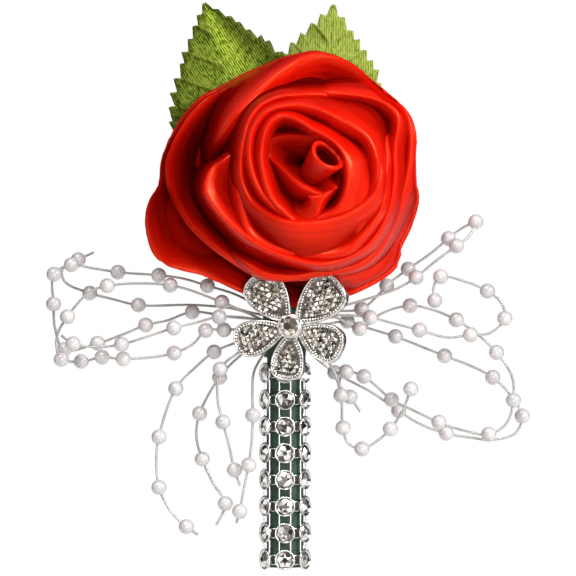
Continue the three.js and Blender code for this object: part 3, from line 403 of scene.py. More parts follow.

# %% [markdown]
# ## The lips
# Every lip is a closed line of points: right, up, and how far it stands off the rose's back. From the lip
# the cloth falls away on both sides. How many millimetres it falls in the first 3 mm is given in eight
# directions (right, upper right, up, upper left, left, lower left, down, lower right) as `inside` and
# `outside`. `roll` is how far the outer side rolls under instead of spreading, and `margin` how far it
# stays from the rose's edge. The rest is painted shade: below the height of `top` a lip lies in a fold and
# its colour is painted darker, and `lit` takes painted shade from the inner side, or adds some where it is
# below zero. A turn with a `middle` closes over that point, and `lip_round` gives a blunter lip.

# %% Lips of the ribbon
ROSE_BACK = -5.4
LIPS = {
    "inner_wrap": {
        "margin": 5, "lip": [
            (-3.6, 4.2, 17.0), (-2.7, 5.5, 17.0), (0.0, 6.1, 17.0), (3.2, 6.1, 17.2), (6.3, 5.9, 17.4),
            (9.7, 4.2, 17.0), (11.4, 1.3, 16.6), (10.6, -1.9, 16.6), (8.9, -4.0, 17.0), (6.6, -4.7, 17.6),
            (3.8, -3.5, 17.8), (0.9, -1.4, 17.6), (-1.5, 0.8, 17.2), (-3.2, 2.5, 17.0),
        ],
        "inside": [4, 2, 1.5, 1.2, 2.4, 7, 8, 6], "outside": [5, 5, 5, 5, 5, 4, 5, 5],
        "middle": (5.6, 0.2), "top": [19.6, 19.6, 19.6, 19.6, 18.8, 17.8, 17.8, 19],
    },
    "inner_fold": {
        "margin": 4.5, "lip": [
            (9.3, -3.2, 17.6), (8.6, -4.4, 18.0), (7.0, -6.0, 18.0), (5.6, -9.0, 17.6), (2.4, -9.6, 16.2),
            (-0.8, -7.2, 14.6), (-2.2, -4.0, 13.5), (0.0, -1.0, 13.0), (5.0, -0.5, 14.0),
        ],
        "inside": [1, 1, 1, 1, 1, 1, 1, 1], "outside": [8, 6, 5, 5, 5, 5, 7, 9],
        "middle": (3.9, -5.0), "top": [18] * 8,
    },
    "second_wrap": {
        "margin": 4, "lip": [
            (2.3, -9.9, 17.4), (0.0, -8.2, 18.2), (-1.9, -6.3, 18.7), (-3.2, -3.8, 19.0), (-4.0, -0.9, 19.2),
            (-4.4, 1.9, 19.3), (-4.2, 4.8, 19.3), (-3.6, 7.2, 19.3), (-2.5, 8.9, 19.2), (-0.9, 9.8, 19.2),
            (0.9, 9.7, 19.2), (2.9, 8.9, 19.2), (4.9, 7.6, 19.0), (7.0, 6.5, 18.8), (9.3, 4.9, 18.7),
            (11.0, 2.7, 18.8), (11.8, 0.0, 19.0), (11.8, -2.9, 19.0), (11.0, -5.7, 18.6), (9.3, -8.0, 18.0),
            (5.9, -9.5, 17.4),
        ],
        "inside": [6, 6, 6, 6, 6, 5, 4, 5], "outside": [2.0, 5, 6, 6, 6, 6, 4, 0.8],
        "lit": [0, 0, 0, 0, 0, 0, -1, -2.5],
    },
    "third_wrap": {
        "margin": 3.5, "lip": [
            (2.3, -10.1, 16.6), (-0.9, -8.2, 17.7), (-3.8, -5.3, 18.2), (-5.5, -2.5, 18.5),
            (-6.5, 0.9, 18.6), (-6.7, 3.8, 18.6), (-6.3, 6.7, 18.6), (-5.1, 9.1, 18.6), (-3.2, 10.8, 18.6),
            (-0.9, 11.6, 18.6), (1.9, 11.9, 18.5), (4.8, 11.6, 18.4), (7.6, 10.6, 18.2), (10.4, 9.1, 18.0),
            (13.3, 7.6, 17.8), (15.6, 5.7, 17.6), (16.9, 2.9, 17.6), (17.4, 0.0, 17.7), (17.1, -2.9, 17.6),
            (16.0, -4.9, 17.4), (13.9, -6.7, 17.2), (10.8, -8.2, 17.0), (7.6, -9.3, 16.8), (4.8, -9.9, 16.6),
        ],
        "inside": [5, 4, 5, 6, 6, 6, 6, 6], "outside": [4.5, 2.4, 4.5, 6, 6, 6, 6, 6],
        "lit": [0.3, 0.5, 0.3, 0, 0, 0, 0, 0],
    },
    "front_petal": {
        "margin": 3, "lip": [
            (-8.4, -0.9, 17.6), (-8.2, 2.9, 17.7), (-7.6, 6.1, 17.7), (-6.7, 9.1, 17.6), (-5.1, 11.4, 17.5),
            (-3.2, 12.7, 17.5), (-0.6, 13.6, 17.4), (2.9, 13.9, 16.9), (6.7, 14.0, 15.6), (11.0, 13.2, 13.6),
            (13.9, 12.0, 13.8), (16.0, 9.7, 13.4), (17.3, 6.5, 14.2), (17.9, 2.9, 16.0), (18.0, -0.4, 17.4),
            (17.5, -3.2, 18.2), (16.5, -5.3, 18.5), (14.4, -7.2, 18.7), (11.4, -8.9, 18.8),
            (7.6, -10.0, 18.7), (2.9, -10.4, 18.5), (-0.9, -9.8, 18.2), (-4.0, -8.2, 17.9),
            (-6.3, -6.3, 17.7), (-7.7, -3.8, 17.6),
        ],
        "inside": [6, 5, 6, 6, 6, 6, 7, 7], "outside": [7, 7, 9, 9, 8, 2.6, 1.1, 2.4], "lip_round": 1.5,
        "top": [0, 0, 0, 0, 18.2, 19.4, 18.2, 0],
    },
    "front_fold": {
        "margin": 2.5, "lip": [
            (-8.9, -0.4, 15.6), (-8.6, -4.2, 16.4), (-7.9, -8.0, 16.3), (-6.7, -11.8, 15.8),
            (-3.6, -14.4, 15.6), (0.0, -15.6, 15.6), (3.8, -16.1, 15.8), (8.2, -16.3, 16.2),
            (11.8, -15.4, 16.8), (14.2, -13.3, 17.0), (16.5, -10.4, 16.9), (18.1, -7.6, 16.7),
            (18.7, -4.8, 16.5), (18.8, -1.5, 16.2), (19.2, 1.9, 15.4), (18.8, 5.4, 14.0), (17.2, 8.9, 12.4),
            (14.4, 11.2, 11.0), (10.8, 12.3, 10.0), (6.3, 12.7, 9.6), (1.3, 12.3, 9.8), (-3.0, 11.0, 10.6),
            (-5.9, 8.5, 12.2), (-7.8, 5.1, 14.0),
        ],
        "inside": [6, 3, 3, 3, 3, 2.5, 2, 3], "outside": [6, 4, 4, 4, 6, 4, 4, 6],
        "lit": [0, 0, 0, 0, -0.6, -1.8, -0.6, 0],
    },
    "fifth_wrap": {
        "margin": 1.6, "lip": [
            (-13.5, 0.4, 13.9), (-14.6, -1.5, 14.6), (-15.0, -3.4, 15.0), (-14.6, -5.1, 15.2),
            (-12.9, -7.6, 15.4), (-10.4, -10.3, 15.6), (-7.6, -12.7, 15.8), (-4.4, -14.8, 16.0),
            (-0.9, -16.3, 16.2), (2.9, -17.4, 16.3), (6.3, -18.0, 16.2), (9.5, -17.6, 16.0),
            (12.7, -16.3, 15.8), (15.8, -14.2, 15.5), (18.1, -11.0, 15.2), (19.6, -7.6, 15.0),
            (20.3, -4.8, 14.9), (20.7, -0.9, 14.8), (20.6, 2.3, 14.8), (20.8, 5.3, 14.8), (21.3, 8.2, 14.6),
            (20.9, 10.4, 14.4), (18.9, 12.3, 14.4), (15.8, 13.5, 14.6), (12.0, 14.2, 15.0), (8.0, 14.5, 15.2),
            (4.4, 13.6, 12.4), (0.0, 12.0, 8.8), (-3.6, 11.0, 8.4), (-6.3, 9.4, 9.6), (-8.0, 6.9, 11.0),
            (-9.3, 3.8, 12.4), (-11.4, 1.9, 13.0),
        ],
        "inside": [6, 4, 4, 3, 1.6, 2.8, 6, 6], "outside": [6, 3, 6, 6, 11, 9, 8, 6],
        "roll": [0, 0, 0.4, 0.8, 0, 0, 0, 0],
    },
    "sixth_wrap": {
        "margin": 0.5, "lip": [
            (-13.5, 3.8, 9.0), (-12.5, 5.7, 10.8), (-11.4, 7.4, 12.0), (-9.9, 9.5, 12.8), (-8.2, 11.3, 13.0),
            (-5.9, 13.5, 12.9), (-3.6, 15.7, 12.5), (-0.8, 18.0, 11.8), (2.1, 19.9, 11.0), (4.8, 21.0, 10.3),
            (7.6, 21.5, 9.9), (11.0, 20.6, 9.9), (13.9, 19.0, 10.2), (16.5, 16.9, 10.5),
            (19.4, 14.5, 10.7), (21.9, 12.2, 10.9), (23.3, 9.3, 11.1), (23.8, 5.7, 11.3), (23.6, 1.9, 11.4),
            (22.9, -2.3, 11.6), (21.9, -5.7, 11.8), (20.5, -9.7, 12.0), (18.8, -13.3, 12.3),
            (16.5, -16.5, 12.6), (13.7, -18.6, 12.9), (10.4, -19.7, 13.1), (6.7, -20.3, 13.3),
            (2.9, -21.0, 13.4), (-0.9, -21.1, 13.4), (-4.4, -20.3, 13.0), (-7.2, -18.5, 12.4),
            (-10.6, -15.8, 9.8), (-13.4, -12.3, 6.0), (-14.8, -8.6, 4.0), (-15.0, -4.8, 3.6),
            (-14.6, -0.4, 5.0),
        ],
        "inside": [6, 1.6, 1.5, 2.8, 5, 6, 6, 6], "outside": [5, 5, 4.4, 3.4, 9, 9, 7, 5],
        "roll": [0, 0, 0, 0, 0, 0.4, 1, 0.3], "lip_round": 3.0, "top": [11, 9.5, 9.5, 12, 13, 13, 12, 11],
        "lit": [0.7, 0.85, 0.95, 0.85, 0.7, 0.7, 0.7, 0.7],
    },
    "left_petal": {
        "margin": 1.0, "lip": [
            (-13.5, 15.2, 6.4), (-16.1, 13.3, 7.2), (-18.6, 10.6, 7.7), (-20.7, 7.8, 8.1), (-22.0, 4.8, 8.3),
            (-22.7, 1.9, 8.4), (-22.7, -1.5, 8.4), (-21.9, -4.9, 8.4), (-20.3, -8.0, 8.5),
            (-18.1, -11.2, 8.8), (-15.0, -14.2, 9.2), (-12.0, -16.5, 9.8), (-8.9, -18.5, 10.4),
            (-6.3, -20.0, 10.9), (-3.2, -20.9, 11.2), (0.9, -21.2, 11.2), (5.1, -20.8, 10.9),
            (9.5, -20.3, 10.2), (12.6, -19.8, 9.4), (15.2, -17.6, 9.2), (17.4, -14.4, 9.0),
            (19.6, -10.4, 8.6), (21.2, -6.0, 8.2), (22.4, -1.3, 7.8), (23.6, 3.8, 7.3), (24.2, 7.4, 6.9),
            (23.4, 10.3, 6.7), (21.5, 12.5, 6.5), (18.1, 15.2, 6.2), (14.6, 18.2, 6.0), (11.4, 20.4, 5.8),
            (7.6, 21.9, 5.6), (3.8, 21.7, 5.6), (0.0, 20.5, 5.6), (-3.8, 19.2, 5.6), (-7.6, 17.7, 5.7),
            (-10.8, 16.3, 5.9),
        ],
        "inside": [4, 4, 4, 4, 3.4, 4, 4, 4], "outside": [1.4, 3, 4, 4, 4, 4, 4, 1.4],
        "roll": [0, 0.2, 1, 1, 1, 1, 1, 0], "top": [6, 6, 6, 9, 11.5, 10.5, 9, 7],
    },
    "outer_petals": {
        "margin": 0, "lip": [
            (-24.1, -2.5, 4.0), (-25.8, -5.1, 4.2), (-26.7, -8.6, 4.3), (-26.4, -12.3, 4.4),
            (-25.3, -15.6, 4.5), (-23.2, -18.1, 4.6), (-19.9, -19.4, 4.8), (-16.1, -20.3, 5.0),
            (-12.3, -21.7, 5.2), (-8.9, -23.2, 5.0), (-5.1, -24.7, 4.2), (-1.3, -25.8, 3.9),
            (2.3, -26.2, 3.8), (5.9, -25.5, 3.9), (9.5, -24.5, 4.4), (12.7, -23.8, 5.2), (15.8, -22.4, 5.2),
            (18.8, -20.7, 4.4), (21.3, -18.6, 3.8), (22.2, -16.3, 3.5), (22.6, -14.2, 3.4),
            (24.1, -11.0, 3.4), (25.3, -7.2, 3.4), (25.6, -4.8, 3.4), (25.1, -1.9, 3.4), (24.9, 1.9, 3.4),
            (25.1, 5.7, 4.2), (24.6, 8.6, 4.0), (23.6, 10.8, 4.0), (21.9, 12.8, 4.0), (19.2, 14.6, 3.8),
            (16.7, 16.9, 3.6), (14.2, 19.4, 3.4), (11.4, 21.1, 3.3), (8.6, 22.2, 3.2), (5.3, 22.8, 3.2),
            (2.3, 22.2, 3.2), (-0.9, 21.4, 3.2), (-4.4, 19.9, 3.2), (-7.6, 18.6, 3.2), (-10.4, 17.1, 3.3),
            (-13.3, 15.6, 3.4), (-16.1, 14.1, 3.5), (-18.4, 11.8, 3.6), (-20.5, 8.9, 3.7), (-22.4, 5.3, 3.8),
            (-23.6, 1.9, 3.9),
        ],
        "inside": [1.5, 2, 3, 3, 2, 1.5, 2, 1.5], "outside": [4, 4, 4, 4, 4, 4, 4, 4],
        "roll": [0.6, 0.8, 1, 1, 0.4, 0.4, 0.8, 0.6], "top": [4, 4, 4, 6, 7.2, 4.4, 5, 4],
    },
}
print("lips:", ", ".join(LIPS))

# %% [markdown]
# The lips only give a few stops and eight directions, so two small functions fill in what lies between:
# one blends the eight values round a turn, the other draws a smooth closed line. The outermost lip is the
# rose's edge, and no other turn may stick out past it.

# %% Lines round the rose
ROSE_CENTRE = Vector((4.75, 0.4))
# Cloth counts as open to the light, and gets less painted shade, from this share of the way to the edge, and
# fully a bit further out.
OPEN_FROM, OPEN_OVER = 0.88, 0.08


def around(values, angle):
    place = (angle / (2 * math.pi)) % 1 * len(values)
    i = int(place) % len(values)
    f = place - int(place)
    f = f * f * (3 - 2 * f)
    return values[i] * (1 - f) + values[(i + 1) % len(values)] * f


def closed_line(stops, samples):
    """Even samples of a smooth closed line through the stops."""
    ring = [Vector(stop) for stop in stops]
    ends = [ring[-1], *ring, ring[0], ring[1]]
    fine = []
    for a, b, c, d in zip(ends, ends[1:], ends[2:], ends[3:]):
        fine += [hermite(b, c, (c - a) / 2, (d - b) / 2, k / 12) for k in range(12)]
    fine.append(fine[0])
    runs = [0.0]
    for p, q in zip(fine, fine[1:]):
        runs.append(runs[-1] + (q - p).length)
    line, k = [], 0
    for i in range(samples):
        goal = runs[-1] * i / samples
        while runs[k + 1] < goal:
            k += 1
        line.append(fine[k].lerp(fine[k + 1], (goal - runs[k]) / (runs[k + 1] - runs[k])))
    return line, runs[-1]


edge_line, edge_length = closed_line(LIPS["outer_petals"]["lip"], 720)
EDGE = {}
for x, z, lift in edge_line:
    spoke = Vector((x, z)) - ROSE_CENTRE
    EDGE[round(math.degrees(math.atan2(spoke.y, spoke.x))) % 360] = spoke.length


def inside_edge(x, z, margin):
    """Draws a point back inside the rose's outer edge, and says how far it lies open there."""
    spoke = Vector((x, z)) - ROSE_CENTRE
    degrees = round(math.degrees(math.atan2(spoke.y, spoke.x))) % 360
    edge = min(EDGE.get((degrees + k) % 360, 99) for k in (-1, 0, 1))
    bare = min(1, max(0, (spoke.length / edge - OPEN_FROM) / OPEN_OVER))
    if spoke.length > edge - margin:
        spoke *= (edge - margin) / spoke.length
    return ROSE_CENTRE + spoke, bare


print(f"rose: {edge_length:.0f} mm round its edge")

# %% [markdown]
# One turn is a strip across the lip: ten steps inwards, the lip itself and ten steps outwards. Cloth
# leaves a fold slowly and then falls straight, so the drop grows with the square of the reach at first
# and in proportion to it later. A little noise along the lip makes the pleats of the winding. A cloth
# simulation could find such folds too, but it wouldn't find those of the photograph.

# %% One turn of the ribbon
LIP_SAMPLES = 260
LIP_RADIUS, ROLL_RADIUS = 1.0, 1.0
# Steps of a ply, in millimetres from the lip.
REACHES = (0.18, 0.4, 0.66, 1.0, 1.4, 1.9, 2.6, 3.5, 4.6, 6.0)
# Height of the pleats, and the lengths of their long and short waves.
PLEAT, PLEAT_LONG, PLEAT_SHORT = 0.07, 2.3, 0.9
# At this reach a ply has fallen by what its turn's table says.
SLOPE_AT = 3
LOWEST_INSIDE, LOWEST_OUTSIDE = 0.4, 0.3
# The share of the way to its middle that an inner ply may cover.
OPEN_TURN, CLOSED_TURN = 0.8, 0.98
# A rolled ply turns by some degrees at each step, and hangs straight after a few of them.
ROLL_STEP, ROLL_END, TAIL_FROM, TAIL_SLANT = 20, 130, 6, 0.7
# How much of its depth paints shade on an outer ply: little on the right, where it lies open to the light.
SHADED = (0.3, 0.45, 0.7, 0.8, 1.0, 0.9, 0.7, 0.4)
# Painted shade on an outer ply: below this drop part of it is spared, and at the rim it goes no deeper than
# this.
OPEN_DROP, RIM_DEPTH = 4, 1.7


def fall(reach, radius):
    return reach * reach / (reach + radius) * (SLOPE_AT + radius) / SLOPE_AT**2


def rolled_under(k):
    """Where step k of an outer ply lies when it curls round under its lip."""
    turn = math.radians(min(ROLL_END, ROLL_STEP * (k + 1)))
    tail = max(0, k - TAIL_FROM)
    return ROLL_RADIUS * math.sin(turn) - TAIL_SLANT * tail, ROLL_RADIUS * (1 - math.cos(turn)) + tail


def ribbon_turn(seed, margin, lip, inside, outside, roll=(0,) * 8, lip_round=LIP_RADIUS, middle=None,
                top=(0,) * 8, lit=(0,) * 8):
    """One turn of the folded ribbon: inner ply, rounded lip and outer ply."""
    line, length = closed_line(lip, LIP_SAMPLES)
    centre = Vector(middle) if middle else sum((Vector(stop) for stop in lip), Vector()) / len(lip)
    close = CLOSED_TURN if middle else OPEN_TURN
    points, threads = [], []
    for i, (x, z, lift) in enumerate(line):
        ray = Vector((x - centre.x, z - centre.y))
        angle = math.atan2(ray.y, ray.x)
        radius = ray.length
        ray.normalize()
        under = around(roll, angle)
        level = around(top, angle) - lift
        shaded = around(SHADED, angle)
        x -= ray.x * ROLL_RADIUS * under
        z -= ray.y * ROLL_RADIUS * under
        run = length * i / LIP_SAMPLES
        pleat = noise.noise((run / PLEAT_LONG, seed, 0)) + 0.6 * noise.noise((run / PLEAT_SHORT, seed, 5))
        pleat *= PLEAT
        stretch = max(1, close * radius / REACHES[-1]) if middle else 1
        for reach in reversed(REACHES):
            step = min(reach * stretch, close * radius)
            drop = around(inside, angle) * fall(step, lip_round) + pleat * min(1, step / SLOPE_AT)
            points.append((x - ray.x * step, z - ray.y * step, max(LOWEST_INSIDE, lift - drop)))
            # The third value of a thread is its painted shade: the drop, less or more as `lit` says, and more
            # below `top`.
            threads.append((run, -reach, drop * (1 - around(lit, angle)) + max(0, level)))
        points.append((x, z, lift))
        threads.append((run, 0, max(0, level)))
        for k, reach in enumerate(REACHES):
            drop = around(outside, angle) * fall(reach, lip_round) - pleat * min(1, reach / SLOPE_AT)
            rolled_step, rolled_drop = rolled_under(k)
            step = reach * (1 - under) + rolled_step * under
            drop = drop * (1 - under) + rolled_drop * under
            spot, bare = inside_edge(x + ray.x * step, z + ray.y * step, margin)
            points.append((spot.x, spot.y, max(LOWEST_OUTSIDE, lift - drop)))
            # An outer ply gets painted shade from its drop, less where it lies open to the light, and capped
            # at the rim.
            open_share = (1 - shaded) * (1 - min(1, drop / OPEN_DROP) ** 2)
            deep = drop * (1 - open_share) + max(0, level)
            threads.append((run, reach, deep * (1 - bare) + min(deep, RIM_DEPTH) * bare))
    return points, threads


print(f"a turn is {LIP_SAMPLES} x {2 * len(REACHES) + 1} points")

# %% [markdown]
# All turns are stacked from the heart outwards, and a plain round of ribbon closes the back and the bottom
# of the folds. It is given as rings: a share of the way to the edge, and a height.

# %% Turns and backing
BACKING = (
    (0.02, -2.76), (0.32, -2.76), (0.37, -2.4), (0.4, -1.0), (0.48, 0.0), (0.7, 0.1), (0.86, 0.3),
    (0.93, 1.0), (0.8, 2.2), (0.5, 3.2), (0.02, 3.2),
)
BACKING_SIDES = 180
# The back gets the painted shade of a fold this deep.
BACKING_SHADE_DEPTH = 3
SEED_STEP = 3.7


def rose():
    points, threads, faces = [], [], []
    row = 2 * len(REACHES) + 1
    for seed, shape in enumerate(LIPS.values()):
        first = len(points)
        made, lines = ribbon_turn(seed * SEED_STEP, **shape)
        points += made
        threads += lines
        for i in range(LIP_SAMPLES):
            a, b = first + i * row, first + (i + 1) % LIP_SAMPLES * row
            faces += [(a + k, a + k + 1, b + k + 1, b + k) for k in range(row - 1)]
    first = len(points)
    for share, lift in BACKING:
        for k in range(BACKING_SIDES):
            degrees = 360 // BACKING_SIDES * k
            spoke = Vector((math.cos(math.radians(degrees)), math.sin(math.radians(degrees))))
            x, z = ROSE_CENTRE + spoke * EDGE[degrees] * share
            points.append((x, z, lift))
            threads.append((4 * k / 9, 30 * share, BACKING_SHADE_DEPTH))
    faces += ring_faces(first, len(BACKING), BACKING_SIDES)
    placed = [Vector((x, ROSE_BACK - lift, z)) for x, z, lift in points]
    return placed, threads, faces


points, threads, faces = rose()
print(f"{len(LIPS)} turns and the back: {len(faces)} faces")

# %% [markdown]
# The ribbon starts as a loose roll that leans to the upper right and shows its open mouth. It is a tapering
# tube with a thick rounded rim, a little out of round, and its foot hides behind the innermost lip.

# %% Heart of the rose
HEART_MOUTH = Vector((8.1, -24.7, 2.5))
HEART_AXIS = Vector((0.52, -0.6, 0.61)).normalized()
HEART_R, HEART_WALL, HEART_TAPER = 3.4, 0.95, 0.2
HEART_PLY = (11, 8.5, 7, 5.5, 4, 3, 1.8, 0.9, 0.35, 0.1)
HEART_RIM = ((0.2, -0.12), (0.5, -0.2), (0.8, -0.12))
HEART_SAMPLES = 90


def heart():
    across = HEART_AXIS.cross(Vector((0, 1, 0))).normalized()
    upward = HEART_AXIS.cross(across)
    section = [(-HEART_TAPER * s, s) for s in HEART_PLY]
    section += [(-share * HEART_WALL, s) for share, s in HEART_RIM]
    section += [(-HEART_WALL - 1.2 * HEART_TAPER * s, s) for s in reversed(HEART_PLY)]
    points, threads, faces = [], [], []
    for i in range(HEART_SAMPLES):
        angle = 2 * math.pi * i / HEART_SAMPLES
        spoke = across * math.cos(angle) + upward * math.sin(angle)
        radius = HEART_R * (1 + 0.05 * math.cos(2 * angle) + 0.03 * math.cos(3 * angle + 1))
        dip = 0.35 * math.cos(angle - 1) ** 2
        for k, (widen, depth) in enumerate(section):
            points.append(HEART_MOUTH - HEART_AXIS * (depth + dip) + spoke * max(0.2, radius + widen))
            # Painted shade: the outside of the roll darkens slowly with depth, the inside of its mouth ten
            # times as fast.
            threads.append((radius * angle, depth, 0.6 * depth if k < len(HEART_PLY) else 6 * depth))
    row = len(section)
    for i in range(HEART_SAMPLES):
        a, b = i * row, (i + 1) % HEART_SAMPLES * row
        faces += [(a + k, b + k, b + k + 1, a + k + 1) for k in range(row - 1)]
    return points, threads, faces


roll_points, roll_threads, roll_faces = heart()
print(f"heart: {2 * HEART_R} mm across, {len(roll_faces)} faces")

# %% [markdown]
# The turns and the heart are one ribbon, so they become one piece. Two UV maps go with it: the first says
# where a point lies along and across the ribbon, in millimetres, and guides the threads. The second holds how
# deep in a fold it is taken to lie, and sets the painted shade and the gloss.

# %% The whole rose
# The ribbon is 50 mm wide and folded in half along its length, so both plies of a turn come from it.
# Millimetres of depth for each unit of the painted shade ramp.
DEPTH_UNIT = 10

faces += [tuple(k + len(points) for k in face) for face in roll_faces]
points += roll_points
threads += roll_threads
rose_ribbon = piece("rose_satin", points, faces, satin)
layer = rose_ribbon.data.uv_layers.new(name="threads")
depth_layer = rose_ribbon.data.uv_layers.new(name="fold_depth")
for loop in rose_ribbon.data.loops:
    run, reach, drop = threads[loop.vertex_index]
    layer.data[loop.index].uv = (run, reach)
    depth_layer.data[loop.index].uv = (drop / DEPTH_UNIT, 0)
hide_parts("rose_ribbon")

# %% [markdown]
# ## Leaves
# Two leaves are stamped from stiff green cloth with a coarse, dull weave. The left one lies in shadow and is
# a darker yellow green, partly painted shadow, and the right one is paler. Both come from one function,
# because only the slant of the threads and the three tones differ. A picture of cloth would be quicker, but
# would blur close up.


# %% Leaf cloth
def leaf_cloth(name, slant, dark, middle, light):
    # Threads lie 0.44 mm apart and show as dashes of about 0.9 mm, where they pass over the crossing ones.
    look, tree, shader = material(name, Roughness=0.6, Specular_IOR_Level=0.08)
    place = node(tree, "TexCoord").outputs["Object"]
    slanted = (0, math.radians(slant), 0)
    turned = node(tree, "Mapping", {"Vector": place, "Rotation": slanted}).outputs["Vector"]
    warp = node(tree, "TexWave", {"Vector": turned, "Scale": WAVE_PERIOD / (0.44 * MM), "Distortion": 3.0,
                                  "Detail": 2, "Detail Scale": 1.5}, bands_direction="X").outputs["Fac"]
    squeezed = node(tree, "Mapping", {"Vector": turned, "Scale": (1 / 0.4, 1, 1 / 0.9)}).outputs["Vector"]
    dash = node(tree, "TexNoise", {"Vector": squeezed, "Scale": 1 / MM, "Detail": 2}).outputs["Fac"]
    weave = node(tree, "Math", {0: warp, 1: dash}, operation="MULTIPLY").outputs["Value"]
    both = node(tree, "Math", {0: weave, 1: dash}, operation="ADD").outputs["Value"]
    cloth = node(tree, "ValToRGB", {"Fac": both},
                 stops=((0.42, dark), (0.68, middle), (1.0, light))).outputs["Color"]
    # Painted shade darkens each half towards its edge, where it bends back from the light,
    # and the crest of every vein is made paler.
    press = node(tree, "SeparateXYZ", {"Vector": node(tree, "UVMap", uv_map="press").outputs["UV"]}).outputs
    tone = node(tree, "ValToRGB", {"Fac": press["X"]},
                stops=((0.0, "000000"), (1.0, "ffffff"))).outputs["Color"]
    toned = node(tree, "Mix", {0: 1.0, 6: cloth, 7: tone}, data_type="RGBA", blend_type="MULTIPLY").outputs[2]
    crest = node(tree, "ValToRGB", {"Fac": press["Y"]},
                 stops=((0.55, "000000"), (1.0, "848484"))).outputs["Color"]
    veined = node(tree, "Mix", {0: crest, 6: toned, 7: colour(light)}, data_type="RGBA").outputs[2]
    tree.links.new(veined, shader.inputs["Base Color"])
    bump = node(tree, "Bump", {"Height": weave, "Strength": 0.5, "Distance": 0.12 * MM})
    tree.links.new(bump.outputs["Normal"], shader.inputs["Normal"])
    return look


# The left leaf's darker tones are partly painted shadow.
leaf_deep = leaf_cloth("leaf_cloth_deep", 32, "304000", "667e06", "aabe46")
leaf_pale = leaf_cloth("leaf_cloth_pale", 0, "66780e", "8a9c34", "b0be5e")
print("leaf cloths:", leaf_deep.name, leaf_pale.name)

# %% [markdown]
# A leaf has a saw-toothed outline, a pressed midrib and side veins that fold the cloth into shallow pleats.
# The saw's teeth are the corners of the edge line, listed from the tip to where the rose hides it. `folds`
# is how far each half bends back from the midrib to the edge, and `tones` how far painted shade darkens it.

# %% Leaf outlines
LEAVES = {
    "leaf_left": {
        "rib": [(-15.4, 31.9), (-13.9, 26.6), (-12.0, 20.9), (-9.5, 14.3), (-4.5, 1.2)],
        "left": [
            (-15.9, 29.8), (-16.9, 29.7), (-16.6, 27.6), (-17.7, 27.5), (-17.6, 25.2), (-18.6, 25.1),
            (-18.5, 22.7), (-19.8, 22.6), (-19.2, 20.5), (-20.1, 20.4), (-19.9, 17.6), (-21.3, 17.5),
            (-20.6, 15.0), (-22.0, 14.8), (-21.0, 12.2), (-22.2, 12.0), (-21.5, 9.4), (-22.2, 9.3),
            (-20.4, 5.8), (-17.0, 3.2), (-11.0, 1.6),
        ],
        "right": [
            (-13.7, 30.5), (-12.9, 30.8), (-11.4, 29.2), (-10.3, 29.3), (-9.5, 28.2), (-8.7, 28.3),
            (-7.4, 26.5), (-6.7, 26.8), (-5.3, 25.1), (-4.6, 25.8), (-3.8, 24.3), (-2.9, 24.7), (-2.0, 22.5),
            (-0.4, 22.6), (-0.5, 19.0), (-0.4, 14.3), (-1.0, 9.5), (-2.4, 4.5),
        ],
        "front": -5.1, "look": leaf_deep, "slot": "leaf_deep",
        "folds": ((0, 0.4, 0.9, 1.4, 1.8), (0, 0.7, 1.3, 1.0, 0.3)),
        "tones": ((0.8, 0.7, 0.58, 0.5, 0.42), (0.95, 1.0, 0.96, 0.46, 0.34)),
    },
    "leaf_right": {
        "rib": [(9.3, 31.7), (8.9, 26.6), (8.4, 20.9), (7.6, 14.0), (6.0, 1.2)],
        "left": [
            (7.8, 29.5), (6.8, 30.0), (6.1, 27.7), (4.9, 28.2), (3.9, 25.8), (3.0, 26.4), (2.1, 24.0),
            (1.0, 24.5), (0.6, 22.2), (-0.4, 22.4), (-0.3, 18.5), (-0.2, 13.3), (1.9, 7.6), (4.2, 3.2),
        ],
        "right": [
            (10.3, 29.3), (11.4, 29.4), (11.9, 26.7), (13.1, 26.7), (13.2, 25.0), (14.3, 25.1), (14.4, 23.0),
            (15.6, 23.0), (15.7, 21.0), (16.8, 21.1), (16.9, 19.2), (18.0, 19.2), (17.5, 16.9), (18.4, 16.6),
            (18.6, 13.3), (17.1, 7.6), (11.0, 3.0),
        ],
        "front": -3.7, "look": leaf_pale, "slot": "leaf_pale",
        "folds": ((0, 0.1, 0.2, 0.3, 0.4), (0, 0.3, 0.6, 0.9, 1.2)),
        "tones": ((0.9, 0.82, 0.74, 0.7, 0.66), (0.9, 0.9, 0.9, 0.88, 0.84)),
    },
}
print("leaves:", ", ".join(LEAVES))

# %% [markdown]
# Each half is laid out in rows from the midrib to the edge that run the way the side veins do. A vein is
# then simply every so many rows. A flat grid pushed up by a pattern of veins would work too, but its rows
# would not follow the teeth of the outline.

# %% Rows of a leaf
LEAF_COLUMNS, EDGE_STEPS = 9, 4
EVENED_ROWS = 10
# Rows from vein to vein, the rise of a pleat, its slant, and the share of it that slopes gently.
VEIN_ROWS, VEIN_RISE, VEIN_SLANT, VEIN_BACK = 16, 0.8, 0.26, 0.8
RIB_RISE = 0.45
LEAF_BOW, BOW_SHARE = 2.2, 0.55
FOLD_WIDTH = 6


def between_values(values, t):
    """The value at a share t of a row of evenly spaced values."""
    place = t * (len(values) - 1)
    i = min(int(place), len(values) - 2)
    return values[i] + (values[i + 1] - values[i]) * (place - i)


def along_line(line, share):
    """A point at a share of the length of a line through 2-D points."""
    spots = [Vector(p) for p in line]
    runs = [(q - p).length for p, q in zip(spots, spots[1:])]
    goal = share * sum(runs)
    for p, q, run in zip(spots, spots[1:], runs):
        if goal <= run:
            return p.lerp(q, goal / run)
        goal -= run
    return spots[-1]


